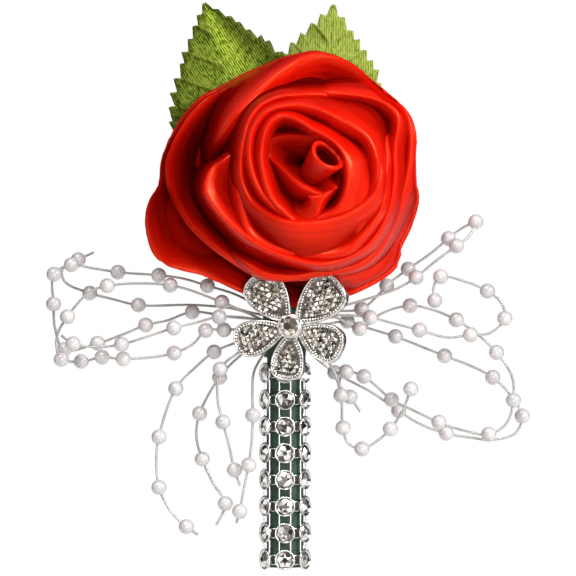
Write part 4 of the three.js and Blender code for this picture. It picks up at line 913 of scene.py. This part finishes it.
def leaf_half(rib, edge, front, fold, tones):
    """Rows of points from the midrib to the toothed edge, laid the way the side veins run."""
    outline = [Vector(rib[0]), *(Vector(p) for p in edge), Vector(rib[-1])]
    fine = []
    for p, q in zip(outline, outline[1:]):
        fine += [p.lerp(q, k / EDGE_STEPS) for k in range(EDGE_STEPS)]
    fine.append(outline[-1])
    way = Vector(rib[-1]) - Vector(rib[0])
    # Shares along the rib only grow from row to row, and are evened out so that no row crosses another.
    shares, reached = [], 0.0
    for spot in fine:
        reached = max(reached, (spot - Vector(rib[0])).dot(way) / way.length_squared)
        shares.append(reached)
    rows, shades_and_crests = [], []
    for i, spot in enumerate(fine):
        window = range(i - EVENED_ROWS, i + EVENED_ROWS + 1)
        near = [shares[min(max(k, 0), len(fine) - 1)] for k in window]
        share = sum(near) / len(near) * min(1, i / EVENED_ROWS)
        start = along_line(rib, min(1, share + VEIN_SLANT * math.sin(math.pi * min(1, share))))
        phase = (i / VEIN_ROWS) % 1
        vein = 1 - phase / VEIN_BACK if phase < VEIN_BACK else (phase - VEIN_BACK) / (1 - VEIN_BACK)
        row = []
        for k in range(LEAF_COLUMNS + 1):
            t = k / LEAF_COLUMNS
            here = start.lerp(spot, t)
            relief = VEIN_RISE * vein * min(1, 4 * t) * (1 - 0.6 * t) + RIB_RISE * (1 - t) ** 6
            tilt = between_values(fold, t) * min(1, (spot - start).length / FOLD_WIDTH)
            bow = LEAF_BOW * max(0, BOW_SHARE - share) ** 2 * 4
            row.append((here.x, front + bow + relief + tilt, here.y))
            # Each point carries its painted shade from the tones and how near it lies to a vein's crest.
            shades_and_crests.append((between_values(tones, t), (1 - vein) * min(1, 6 * (1 - t))))
        rows.append(row)
    return rows, shades_and_crests


print(f"leaf rows of {LEAF_COLUMNS + 1} points")

# %% [markdown]
# Both halves become one thin sheet. A solidify modifier gives it the thickness of cloth, so the mesh itself
# stays easy to edit.

# %% Leaves
LEAF_THICK = 0.35

for name, shape in LEAVES.items():
    points, faces, press = [], [], []
    for half, edge in enumerate((shape["left"], shape["right"])):
        fold, tones = shape["folds"][half], shape["tones"][half]
        rows, shades_and_crests = leaf_half(shape["rib"], edge, shape["front"], fold, tones)
        press += shades_and_crests
        first = len(points)
        width = LEAF_COLUMNS + 1
        points += [p for row in rows for p in row]
        for i in range(len(rows) - 1):
            a, b = first + i * width, first + (i + 1) * width
            for k in range(LEAF_COLUMNS):
                quad = (a + k, b + k, b + k + 1, a + k + 1)
                faces.append(quad if half else quad[::-1])
    leaf = piece(f"{name}_cloth", points, faces, shape["look"])
    layer = leaf.data.uv_layers.new(name="press")
    for loop in leaf.data.loops:
        layer.data[loop.index].uv = press[loop.vertex_index]
    cut = sum(face.area for face in leaf.data.polygons)
    body = leaf.modifiers.new("thickness", "SOLIDIFY")
    body.thickness = LEAF_THICK * MM
    body.offset = -1
    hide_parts(name)
    print(f"{name}: {len(shape['left']) // 2 + len(shape['right']) // 2} teeth")

# %% [markdown]
# ## Stem: wound tape, binding and rhinestone net
# The wire is wound with dark green stem tape. Each turn laps over the one below, which leaves a low
# spiral step. The binding at the neck is the same tape wound thicker. One function makes both, as a tube
# whose radius drops along each lap.

# %% Tape
# Waxed crepe paper is dull with a weak sheen, and its creases lie about half a millimetre apart.
tape_look, tree, shader = material("stem_tape", Roughness=0.58, Specular_IOR_Level=0.35)
crepe = mottle(tree, shader, 0.5, ((0.3, "1c3022"), (0.7, "3a5640")), Detail=5, Roughness=0.7)
bump = node(tree, "Bump", {"Height": crepe, "Strength": 0.35, "Distance": 0.1 * MM})
tree.links.new(bump.outputs["Normal"], shader.inputs["Normal"])

TAPE_R, TAPE_BOTTOM, TAPE_TOP = 3.55, -75.6, -35.4
TAPE_BORE = 1.4
TAPE_PITCH, TAPE_STEP = 4.2, 0.14
TAPE_ROW = 0.25


def wound(name, radius, low, high, pitch, step):
    rows, sides = int((high - low) / TAPE_ROW), 56
    points = []
    for i in range(-1, rows + 2):
        z = low + (high - low) * min(max(i, 0), rows) / rows
        for k in range(sides):
            angle = 2 * math.pi * k / sides
            lap = (z / pitch + k / sides) % 1
            r = radius(z) - step * lap if 0 <= i <= rows else TAPE_BORE
            points.append((r * math.cos(angle), STEM_Y + r * math.sin(angle), z))
    return piece(name, points, ring_faces(0, rows + 3, sides), tape_look)


for name, node_name, radius, low, high in (
    ("tape_wrap", "stem_tape", lambda z: TAPE_R, TAPE_BOTTOM, TAPE_TOP),
    ("neck_wrap", "neck_binding", neck_radius, NECK_BOTTOM, NECK_TOP),
):
    wrap = wound(name, radius, low, high, TAPE_PITCH, TAPE_STEP)
    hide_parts(node_name)
    print(f"{name}: {(high - low) / TAPE_PITCH:.1f} turns of tape")

# %% [markdown]
# The net is a moulded plastic mesh with a bright metal coat. It holds round stones in cups, with rails along
# each column and short bars across. On the bars sit small four-sided lugs whose tops are near-black. The
# foil behind the glass throws light from some facets and leaves others dark, and each facet is painted with
# a random tone for that reflection.

# %% Finishes of the net
# A metal coat on moulded plastic mirrors the room, with a faint haze that changes every few millimetres.
net_look, tree, shader = material("metallised_net", Metallic=1.0, Roughness=0.12)
mottle(tree, shader, 3, ((0.3, "d2d3d4"), (0.7, "f4f4f4")), Detail=3)

# Painted reflection: foiled glass is nearly a mirror, brown where a facet looks into the dark and white where
# it meets a lamp, so each facet gets one of these tones at random.
foil_look, tree, shader = material("foiled_rhinestone", Metallic=0.9, Roughness=0.1, Coat_Weight=0.5)
facet = node(tree, "NewGeometry").outputs["Random Per Island"]
tone = node(tree, "ValToRGB", {"Fac": facet},
            stops=((0.0, "2c241c"), (0.25, "7e756a"), (0.45, "d0ccc6"), (0.75, "fbfaf8"))).outputs["Color"]
tree.links.new(tone, shader.inputs["Base Color"])

# The lug tops are near-black, and a little browner in places.
link_look, tree, shader = material("dark_lug_top", Roughness=0.35, Specular_IOR_Level=0.3)
mottle(tree, shader, 0.8, ((0.35, "100e0c"), (0.65, "34312d")))
print("net finishes:", net_look.name, foil_look.name, link_look.name)

# %% [markdown]
# A cut stone is a stack of rings with few corners. When each ring is turned by half a step from the one
# before, the faces between them become the kite and star cuts of a real stone. Faces that are kept apart
# are islands of their own, which is how a material can tell one facet from another.


# %% Cut bodies and bars
class Facets:
    """Collects points and faces of many small cut bodies."""

    def __init__(self):
        self.points, self.faces = [], []

    def rings(self, place, rings, sides, twist=True, apart=False):
        first, start = len(self.points), len(self.faces)
        for j, (radius, height) in enumerate(rings):
            for k in range(sides):
                angle = 2 * math.pi * (k + (0.5 * j if twist else 0)) / sides
                corner = Vector((radius * math.cos(angle), radius * math.sin(angle), height))
                self.points.append(place @ corner)
        for a, b, d, c in ring_faces(first, len(rings), sides):
            self.faces += [(a, b, c), (b, d, c)] if twist else [(a, b, d, c)]
        top = first + (len(rings) - 1) * sides
        self.faces.append(tuple(range(top, top + sides)))
        if apart:
            corners = [[self.points[k] for k in face] for face in self.faces[start:]]
            del self.points[first:], self.faces[start:]
            for face in corners:
                self.faces.append(tuple(range(len(self.points), len(self.points) + len(face))))
                self.points += face

    def bar(self, start, end, radius, sides=8):
        way = (end - start).normalized()
        first = len(self.points)
        across = way.orthogonal().normalized()
        upward = way.cross(across)
        for at in (start, end):
            for k in range(sides):
                angle = 2 * math.pi * k / sides
                self.points.append(at + (across * math.cos(angle) + upward * math.sin(angle)) * radius)
        for k in range(sides):
            a, b = first + k, first + (k + 1) % sides
            self.faces.append((a, b, b + sides, a + sides))


print("cut bodies and bars ready")

# %% [markdown]
# The rings are written as pairs of radius and height. One column is laid out in front of the stem and
# turned round it six times. A lug is a stack of four-cornered rings, turned by an eighth so that its sides
# stand upright, and then squeezed to its width and height.

# %% Rhinestone net
STONE_PITCH, STONE_COLUMNS, STONE_ROWS = 5.07, 6, 8
NET_INNER = TAPE_R + GLUE_GAP
STONE_R = 1.75
FIRST_ROW = TAPE_BOTTOM + STONE_R * math.cos(math.pi / 6)
LAST_ROW = FIRST_ROW + (STONE_ROWS - 1) * STONE_PITCH
RAIL_TURN, RAIL_R, RAIL_LIFT = math.radians(15), 0.18, 0.3
LINK_R, LINK_LIFT, LINK_START = 0.22, 0.4, 0.9
ROW_SPIN, COLUMN_SPIN = 1.3, 0.7
LUG_WIDTH, LUG_HEIGHT = 1.05, 1.9
LUG = ((1.0, 0.0), (1.0, 0.6), (0.93, 0.74), (0.82, 0.74), (0.78, 0.6))
LUG_DARK_TOP = ((0.9, 0.66), (0.86, 0.76), (0.4, 0.82))
CUP = ((1.55, 0.0), (1.85, 0.3), (1.95, 0.62), (1.86, 0.76), (1.7, 0.72), (1.62, 0.5))
CROWN = ((1.66, 0.55), (1.3, 0.86), (0.5, 1.26))

net, rails, links = Facets(), Facets(), Facets()
to_front = Matrix.Rotation(math.pi / 2, 4, "X")
square = (Matrix.Diagonal((LUG_WIDTH / 2**0.5, LUG_HEIGHT / 2**0.5, 1, 1))
          @ Matrix.Rotation(math.pi / 4, 4, "Z"))
for column in range(STONE_COLUMNS):
    swing = 2 * math.pi * column / STONE_COLUMNS
    turn = Matrix.Translation((0, STEM_Y, 0)) @ Matrix.Rotation(swing, 4, "Z")
    between = turn @ Matrix.Rotation(math.pi / STONE_COLUMNS, 4, "Z")
    beside = turn @ Matrix.Rotation(2 * math.pi / STONE_COLUMNS, 4, "Z")
    for row in range(STONE_ROWS):
        z = FIRST_ROW + row * STONE_PITCH
        seat = turn @ Matrix.Translation((0, -NET_INNER, z)) @ to_front
        rails.rings(seat, CUP, 24, twist=False)
        spin = Matrix.Rotation(ROW_SPIN * row + COLUMN_SPIN * column, 4, "Z")
        net.rings(seat @ spin, CROWN, 6, apart=True)
        link_start = turn @ Vector((LINK_START, -NET_INNER - LINK_LIFT, z))
        link_end = beside @ Vector((-LINK_START, -NET_INNER - LINK_LIFT, z))
        rails.bar(link_start, link_end, LINK_R)
        lug = between @ Matrix.Translation((0, -NET_INNER, z)) @ to_front @ square
        rails.rings(lug, LUG, 4, twist=False)
        links.rings(lug, LUG_DARK_TOP, 4, twist=False)
    for side in (-1, 1):
        edge = turn @ Matrix.Rotation(side * RAIL_TURN, 4, "Z") @ Vector((0, -NET_INNER - RAIL_LIFT, 0))
        rails.bar(edge + Vector((0, 0, FIRST_ROW)), edge + Vector((0, 0, LAST_ROW)), RAIL_R)
sleeve = piece("rhinestone_net", net.points, net.faces, foil_look, smooth=False)
webbing = piece("net_cups", rails.points, rails.faces, net_look)
joints = piece("net_links", links.points, links.faces, link_look)
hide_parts("rhinestone_sleeve")
print(f"net: {STONE_COLUMNS * STONE_ROWS} stones and as many lugs")

# %% [markdown]
# ## Metal flower
# Five cast petals carry trays of small set stones inside a smooth rim and a row of milled beads. A large
# round stone sits in the middle. Silver plate is bright on the rims, the floor of a tray is painted dark
# as shade between the stones, and the stones have foil behind them like those of the net, in warmer tones.

# %% Metals and crystal
# Silver plate mirrors softly, and is duller and darker where handling has worn it.
alloy_look, tree, shader = material("silver_plate", Metallic=1.0, Roughness=0.2)
wear = mottle(tree, shader, 0.9, ((0.3, "bab6b0"), (0.62, "efedea")), Detail=4)
rough = node(tree, "MapRange", {"Value": wear, "To Min": 0.14, "To Max": 0.3}).outputs["Result"]
tree.links.new(rough, shader.inputs["Roughness"])

# Every facet of a foiled stone takes a smoke, champagne or white tone at random: partly the foil's warm
# colour, partly painted reflection of the dark room and the lamps.
crystal_look, tree, shader = material("foiled_crystal", Metallic=0.85, Roughness=0.06, Coat_Weight=0.6)
lot = node(tree, "NewGeometry").outputs["Random Per Island"]
tone = node(tree, "ValToRGB", {"Fac": lot},
            stops=((0.0, "342a20"), (0.3, "988b78"), (0.55, "dcd6ca"), (0.8, "fdfcf8"))).outputs["Color"]
tree.links.new(tone, shader.inputs["Base Color"])

# Painted shade: a tray's floor is made dull and brown between the stones, which sets them off.
tray_shade_look, tree, shader = material("tray_floor_shade", Metallic=0.9, Roughness=0.35)
mottle(tree, shader, 0.5, ((0.35, "544e44"), (0.65, "a8a298")), Detail=3)
print("flower finishes:", alloy_look.name, crystal_look.name, tray_shade_look.name)

# %% [markdown]
# The flower is drawn lying flat, with a petal along +Y, and then turned to face the viewer where its casting
# sits. A petal's outline is two Bezier spans and their mirror image. Drawing it in by an inset gives every
# further ring: the rim, the row of beads and the edge of the stones.

# %% Petal outlines
FLOWER_AT = (1.7, -13.0, -29.6)
FLOWER_SWING, FLOWER_CUP = 0.3, 0.1
PETAL_START = 0.6
# Each petal's angle in degrees, its length and half its width.
PETALS = ((41, 13.0, 4.2), (128, 12.2, 4.1), (197, 11.8, 3.4), (264, 10.5, 3.3), (335, 11.2, 3.6))
flower_place = (Matrix.Translation(FLOWER_AT) @ Matrix.Rotation(-FLOWER_SWING, 4, "Z")
                @ Matrix.Rotation(math.pi / 2, 4, "X"))


def bezier(p, q, r, s, t):
    return p * (1 - t) ** 3 + q * 3 * t * (1 - t) ** 2 + r * 3 * t * t * (1 - t) + s * t**3


def petal_line(length, half_width, inset, samples=16):
    """The petal's outline, drawn in by an inset."""
    start, tip, half = PETAL_START + 2.2 * inset, length - inset, half_width - inset
    wide = start + (tip - start) * 0.7
    low, high = wide - start, tip - wide
    flank = ((0, start), (half * 0.4, start + low * 0.2), (half, start + low * 0.6), (half, wide))
    crown = ((half, wide), (half, wide + high * 0.7), (half * 0.7, tip), (0, tip))
    side = [bezier(*map(Vector, span), k / samples) for span in (flank, crown) for k in range(samples)]
    other = [Vector((-p.x, p.y)) for p in reversed(side[1:])]
    return side + [Vector((0, tip))] + other


def even(line, pitch):
    """Points at an even pitch round a closed line."""
    ring = [*line, line[0]]
    total = sum((q - p).length for p, q in zip(ring, ring[1:]))
    count = round(total / pitch)
    return [along_line(ring, k / count) for k in range(count)]


def within(line, spot):
    """Whether a spot lies inside a closed line: a ray from it then crosses the line oddly often."""
    hits = 0
    for p, q in zip(line, [*line[1:], line[0]]):
        if (p.y > spot.y) != (q.y > spot.y):
            hits += spot.x < p.x + (q.x - p.x) * (spot.y - p.y) / (q.y - p.y)
    return hits % 2 == 1


def ball(facets, place, radius, rings=5, sides=10):
    polar = [math.pi * (j + 0.4) / rings for j in range(rings)]
    rows = [(radius * math.sin(angle), -radius * math.cos(angle)) for angle in polar]
    facets.rings(place, rows, sides, twist=False)


print(f"{len(PETALS)} petals, {min(p[1] for p in PETALS)} to {max(p[1] for p in PETALS)} mm long")

# %% [markdown]
# Each petal is cast from the rings of its rim: an inset and a height for each. Beads follow the rim at an
# even pitch. The floor's faces are noted, because they get a painted shade of their own.

# %% Cast petals and beads
RIM = (
    (0.0, 0.0), (0.0, 1.1), (0.08, 1.36), (0.22, 1.46), (0.36, 1.36), (0.42, 1.1), (0.5, 0.74), (1.2, 0.74),
    (2.2, 0.74),
)
FLOOR_RING = 6
BEAD_R, BEAD_PITCH, BEAD_INSET, BEAD_LIFT = 0.27, 0.56, 0.62, 1.2

casting, milling = Facets(), Facets()
floors = []


def cast_petal(place, length, half):
    """Adds a petal's base, rim and floor to the casting, and its row of beads to the milling."""
    lines = [petal_line(length, half, inset) for inset, _ in RIM]
    first, count = len(casting.points), len(lines[0])
    for line, (_, height) in zip(lines, RIM):
        casting.points += [place @ Vector((p.x, p.y, height)) for p in line]
    casting.faces.append(tuple(range(first + count - 1, first - 1, -1)))
    floor_from = len(casting.faces) + FLOOR_RING * count
    casting.faces += ring_faces(first, len(RIM), count)
    casting.faces.append(tuple(first + (len(RIM) - 1) * count + k for k in range(count)))
    floors.extend(range(floor_from, len(casting.faces)))
    for spot in even(petal_line(length, half, BEAD_INSET), BEAD_PITCH):
        ball(milling, place @ Matrix.Translation((spot.x, spot.y, BEAD_LIFT)), BEAD_R)


print(f"rim: {len(RIM)} rings, beads {BEAD_PITCH} mm apart")

# %% [markdown]
# The small stones lie in shifted rows like a honeycomb, each tilted a little, because stones set by hand
# never lie quite flat. A small bead of metal beside every stone stands for the prong that holds it. Seeded
# dice give the tilts, so the flower comes out the same every time.

# %% Set stones
PAVE_PITCH, PAVE_R, PAVE_INSET, PAVE_LIFT = 1.04, 0.55, 1.05, 0.78
PAVE_CUT = ((PAVE_R, 0.0), (PAVE_R, 0.22), (PAVE_R * 0.66, 0.5))
PAVE_ROW, PAVE_REACH, PAVE_TILT = PAVE_PITCH * 0.87, 5, 0.3
PRONG_R, PRONG_LIFT, PRONG_ABOVE = 0.2, 1.05, 0.3

dice = random.Random(7)


def set_stones(place, length, half):
    """The stones of one petal. Their prongs go to the milling."""
    bed = Facets()
    tray = petal_line(length, half, PAVE_INSET)
    for row in range(int(length / PAVE_ROW) + 1):
        y = length - PAVE_INSET - row * PAVE_ROW
        for step in range(-PAVE_REACH, PAVE_REACH + 1):
            spot = Vector(((step + 0.5 * (row % 2)) * PAVE_PITCH, y))
            if not within(tray, spot):
                continue
            nod = Matrix.Rotation(dice.uniform(-PAVE_TILT, PAVE_TILT), 4, "X")
            lean = Matrix.Rotation(dice.uniform(-PAVE_TILT, PAVE_TILT), 4, "Y")
            spin = Matrix.Rotation(dice.uniform(0, 1), 4, "Z")
            seat = place @ Matrix.Translation((spot.x, spot.y, PAVE_LIFT)) @ nod @ lean @ spin
            bed.rings(seat, PAVE_CUT, 5, apart=True)
            prong = Matrix.Translation((spot.x + PAVE_PITCH / 2, spot.y + PRONG_ABOVE, PRONG_LIFT))
            ball(milling, place @ prong, PRONG_R, 4, 6)
    return bed


for petal, (degrees, length, half) in enumerate(PETALS):
    turn = Matrix.Rotation(math.radians(degrees - 90), 4, "Z")
    place = flower_place @ turn @ Matrix.Rotation(FLOWER_CUP, 4, "X")
    cast_petal(place, length, half)
    bed = set_stones(place, length, half)
    stones = piece(f"set_stones_{petal + 1}", bed.points, bed.faces, crystal_look, smooth=False)
    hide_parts(f"stone_bed_{petal + 1}")
    print(f"petal {petal + 1}: {len(stones.data.polygons)} facets")

# %% [markdown]
# A round hub joins the five petals. Casting and beads stay two pieces, so the beads can be left out of a
# lighter copy.

# %% Casting
HUB = ((2.4, 0.0), (2.4, 2.0), (2.2, 2.3))
casting.rings(flower_place, HUB, 24, twist=False)
flower = piece("flower_casting", casting.points, casting.faces, alloy_look)
flower.data.materials.append(tray_shade_look)
for k in floors:
    flower.data.polygons[k].material_index = 1
beading = piece("flower_beading", milling.points, milling.faces, alloy_look)
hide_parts("flower_frame")
print(f"casting: {len(casting.faces)} faces, {len(floors)} of them tray floor")

# %% [markdown]
# The middle stone stands in a flared cup, and six round prongs hold its girdle. Its cut is a stack of
# eight-cornered rings: the base, the girdle, the crown and the flat table.

# %% Centre stone
PRONGS, PRONG_BALL = 6, 0.3
PRONG_AT = (2.0, 0, 3.85)
SETTING = ((1.7, 2.42), (2.05, 3.3), (2.15, 3.72), (1.95, 3.76))
BRILLIANT = ((1.5, 2.9), (1.94, 3.62), (1.94, 3.72), (1.5, 4.25), (0.75, 4.62))
cup = Facets()
cup.rings(flower_place, SETTING, 24, twist=False)
for k in range(PRONGS):
    turn = flower_place @ Matrix.Rotation(2 * math.pi / PRONGS * k, 4, "Z")
    ball(cup, turn @ Matrix.Translation(PRONG_AT), PRONG_BALL)
setting = piece("centre_cup", cup.points, cup.faces, alloy_look)
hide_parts("centre_setting")
cut = Facets()
cut.rings(flower_place, BRILLIANT, 8, apart=True)
centre = piece("centre_crystal", cut.points, cut.faces, crystal_look, smooth=False)
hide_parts("centre_stone")
print(f"centre stone: {len(cut.faces)} facets, {PRONGS} prongs")

# %% [markdown]
# ## Backing, pin and glue
# A felt disc closes the back of the rose and carries the pin. Felt is a flat mass of fibres with no weave,
# and its cut edge is slightly rounded. A disc of rings is enough for it, and the finish gives the fibres.

# %% Felt
# Wool fibres have no gloss, only a soft sheen at the edge, and mottle the dye every third of a millimetre.
felt_look, tree, shader = material("wool_felt", Roughness=0.95, Specular_IOR_Level=0.1, Sheen_Weight=0.4)
fibre = mottle(tree, shader, 0.35, ((0.3, "5c0d0d"), (0.7, "8f1a18")), Detail=6, Roughness=0.75)
bump = node(tree, "Bump", {"Height": fibre, "Strength": 0.6, "Distance": 0.15 * MM})
tree.links.new(bump.outputs["Normal"], shader.inputs["Normal"])

FELT_R, FELT_BACK, FELT_FRONT = 14.5, -1.2, -2.6
# The edge as shares of the radius and of the thickness, from the back to the front.
FELT_EDGE = (
    (0.02, 0), (0.5, 0), (0.93, 0), (0.985, 0.12), (1, 0.4), (1, 0.6), (0.985, 0.88), (0.93, 1), (0.5, 1),
    (0.02, 1),
)
disc = Facets()
rings = [(FELT_R * r, FELT_BACK + (FELT_FRONT - FELT_BACK) * t) for r, t in FELT_EDGE]
disc.rings(Matrix.Rotation(-math.pi / 2, 4, "X"), rings, 72, twist=False)
felt = piece("felt_disc", disc.points, disc.faces, felt_look)
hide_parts("felt_backing")
print(f"felt: {2 * FELT_R} mm across, {FELT_BACK - FELT_FRONT:.1f} mm thick")

# %% [markdown]
# The bar pin, the stem's wire and the pad of glue already have their true shape as solids. They keep it and
# only get a finish, so the needle and the catch still turn on the joints they came with.

# %% Pin, wire and glue
# Bright nickel is a clear mirror with faint lines along the pin, left by drawing the strip.
nickel, tree, shader = material("bright_nickel", Metallic=1.0)
place = node(tree, "TexCoord").outputs["Object"]
drawn = node(tree, "Mapping", {"Vector": place, "Scale": (0.08, 1, 1)}).outputs["Vector"]
grain = node(tree, "TexNoise", {"Vector": drawn, "Scale": 1 / (0.2 * MM), "Detail": 4}).outputs["Fac"]
tint = node(tree, "ValToRGB", {"Fac": grain}, stops=((0.3, "b4b5b7"), (0.7, "dcdcda"))).outputs["Color"]
tree.links.new(tint, shader.inputs["Base Color"])
rough = node(tree, "MapRange", {"Value": grain, "To Min": 0.16, "To Max": 0.34}).outputs["Result"]
tree.links.new(rough, shader.inputs["Roughness"])

# Bare iron wire is grey and dull, with spots of oxide.
wire_look, tree, shader = material("drawn_wire", Metallic=1.0, Roughness=0.38)
mottle(tree, shader, 0.6, ((0.3, "6f7173"), (0.7, "9a9c9e")), Detail=4)

# Set hot glue is milky: light goes in, scatters and comes out cream.
glue_look, tree, shader = material(
    "hot_glue", Roughness=0.35, Transmission_Weight=0.25, Subsurface_Weight=0.3,
)
mottle(tree, shader, 1.2, ((0.3, "cfc8b4"), (0.7, "e6e1d2")), Detail=3)

FINISHES = {
    nickel: ("pin_bar", "hinge_bracket", "hinge_rivet", "pin_needle", "catch_housing", "catch_sleeve"),
    wire_look: ("stem_wire",), glue_look: ("glue_pad",),
}
for look, names in FINISHES.items():
    for name in names:
        bpy.data.objects[name].material_slots[0].material = look
    print(f"{look.name}: {', '.join(names)}")

# %% [markdown]
# ## Light and stage
# The world is three things at once, told apart by the kind of ray: a dim room that lights the cloth, a room
# with bright and dark walls that only the shiny pieces mirror, and plain white for the camera. The white
# behind the brooch therefore adds no light of its own.

# %% World
ROOM_LIGHT = 0.22
world = bpy.data.worlds.new("studio")
bpy.context.scene.world = world
world.use_nodes = True
tree = world.node_tree
tree.nodes.clear()
rays = node(tree, "LightPath").outputs
heading = node(tree, "SeparateXYZ", {"Vector": node(tree, "TexCoord").outputs["Generated"]}).outputs
right, away, upward = (
    node(tree, "MapRange", {"Value": heading[axis], "From Min": -1.0, "From Max": 1.0}).outputs["Result"]
    for axis in "XYZ"
)
studio = node(tree, "ValToRGB", {"Fac": upward},
              stops=((0.0, "505050"), (0.45, "8a8a8a"), (0.62, "c0c0c0"), (0.85, "f4f4f4"))).outputs["Color"]
room = node(tree, "Background", {"Color": studio, "Strength": ROOM_LIGHT}).outputs["Background"]
# Bright finishes see the white behind and beside the brooch, the dark room behind the camera and a
# dark flag to the right, which gives cut stones their contrast.
near = node(tree, "ValToRGB", {"Fac": away},
            stops=((0.01, "262626"), (0.06, "6a6a6a"), (0.14, "ffffff"), (0.5, "f0f0f0"),
                   (0.72, "3c3c3c"))).outputs["Color"]
flag = node(tree, "ValToRGB", {"Fac": right},
            stops=((0.6, "ffffff"), (0.7, "1e1c1a"), (0.92, "2a2826"), (1.0, "ffffff"))).outputs["Color"]
mirror = node(tree, "Mix", {0: 1.0, 6: near, 7: flag}, data_type="RGBA", blend_type="MULTIPLY").outputs[2]
shine = node(tree, "Background", {"Color": mirror, "Strength": 1.0}).outputs["Background"]
white = node(tree, "Background", {"Color": (1, 1, 1, 1), "Strength": 1.0}).outputs["Background"]
seen = node(tree, "Math", {0: rays["Is Glossy Ray"], 1: rays["Is Transmission Ray"]},
            operation="MAXIMUM").outputs["Value"]
glint = node(tree, "MixShader", {0: seen, 1: room, 2: shine}).outputs["Shader"]
mixed = node(tree, "MixShader", {0: rays["Is Camera Ray"], 1: glint, 2: white}).outputs["Shader"]
node(tree, "OutputWorld", {"Surface": mixed})
print(f"world: {len(tree.nodes)} nodes")

# %% [markdown]
# Four large soft lamps light the brooch: a key from the upper right, weaker ones in front and above, and one
# behind for the back views. Lamps of this size give satin broad highlights with soft ends.

# %% Lamps
AIM = (0, -10, -20)
LIGHTS = {
    "key": {"at": (860, -640, 480), "size": 320, "watts": 12.0},
    "front": {"at": (240, -1100, 0), "size": 320, "watts": 4.3},
    "top": {"at": (-200, -600, 880), "size": 320, "watts": 6.0},
    "back": {"at": (-420, 1050, 420), "size": 320, "watts": 7.0},
}
for name, spec in LIGHTS.items():
    lamp = bpy.data.lights.new(name, "AREA")
    lamp.size = spec["size"] * MM
    lamp.energy = spec["watts"]
    made = bpy.data.objects.new(name, lamp)
    made.location = Vector(spec["at"]) * MM
    made.visible_glossy = name != "back"
    aim = Vector(AIM) * MM - made.location
    made.rotation_euler = aim.to_track_quat("-Z", "Y").to_euler()
    bpy.context.scene.collection.objects.link(made)
    print(f"lamp {name}: {spec['watts']} W")

# %% [markdown]
# A pale floor far below throws a little light up into the folds, as a white table would. It is part of
# the stage and not of the brooch. Colours go to the picture as they are, with no film look.

# %% Floor
# Matt paper sends light back evenly and shows no mirror image.
floor_look, tree, shader = material("pale_floor", Roughness=0.8, Base_Color=colour("f2f1ef"))
FLOOR_HALF, FLOOR_Z = 300, -104
floor_mesh = bpy.data.meshes.new("floor")
corners = [(FLOOR_HALF * x, FLOOR_HALF * y) for x, y in ((-1, -1), (1, -1), (1, 1), (-1, 1))]
floor_mesh.from_pydata([Vector((x, y, FLOOR_Z)) * MM for x, y in corners], [], [(0, 1, 2, 3)])
floor_mesh.materials.append(floor_look)
floor = bpy.data.objects.new("floor", floor_mesh)
bpy.context.scene.collection.objects.link(floor)
bpy.context.scene.view_settings.view_transform = "Standard"
print(f"floor: {2 * FLOOR_HALF} mm wide at {FLOOR_Z} mm")
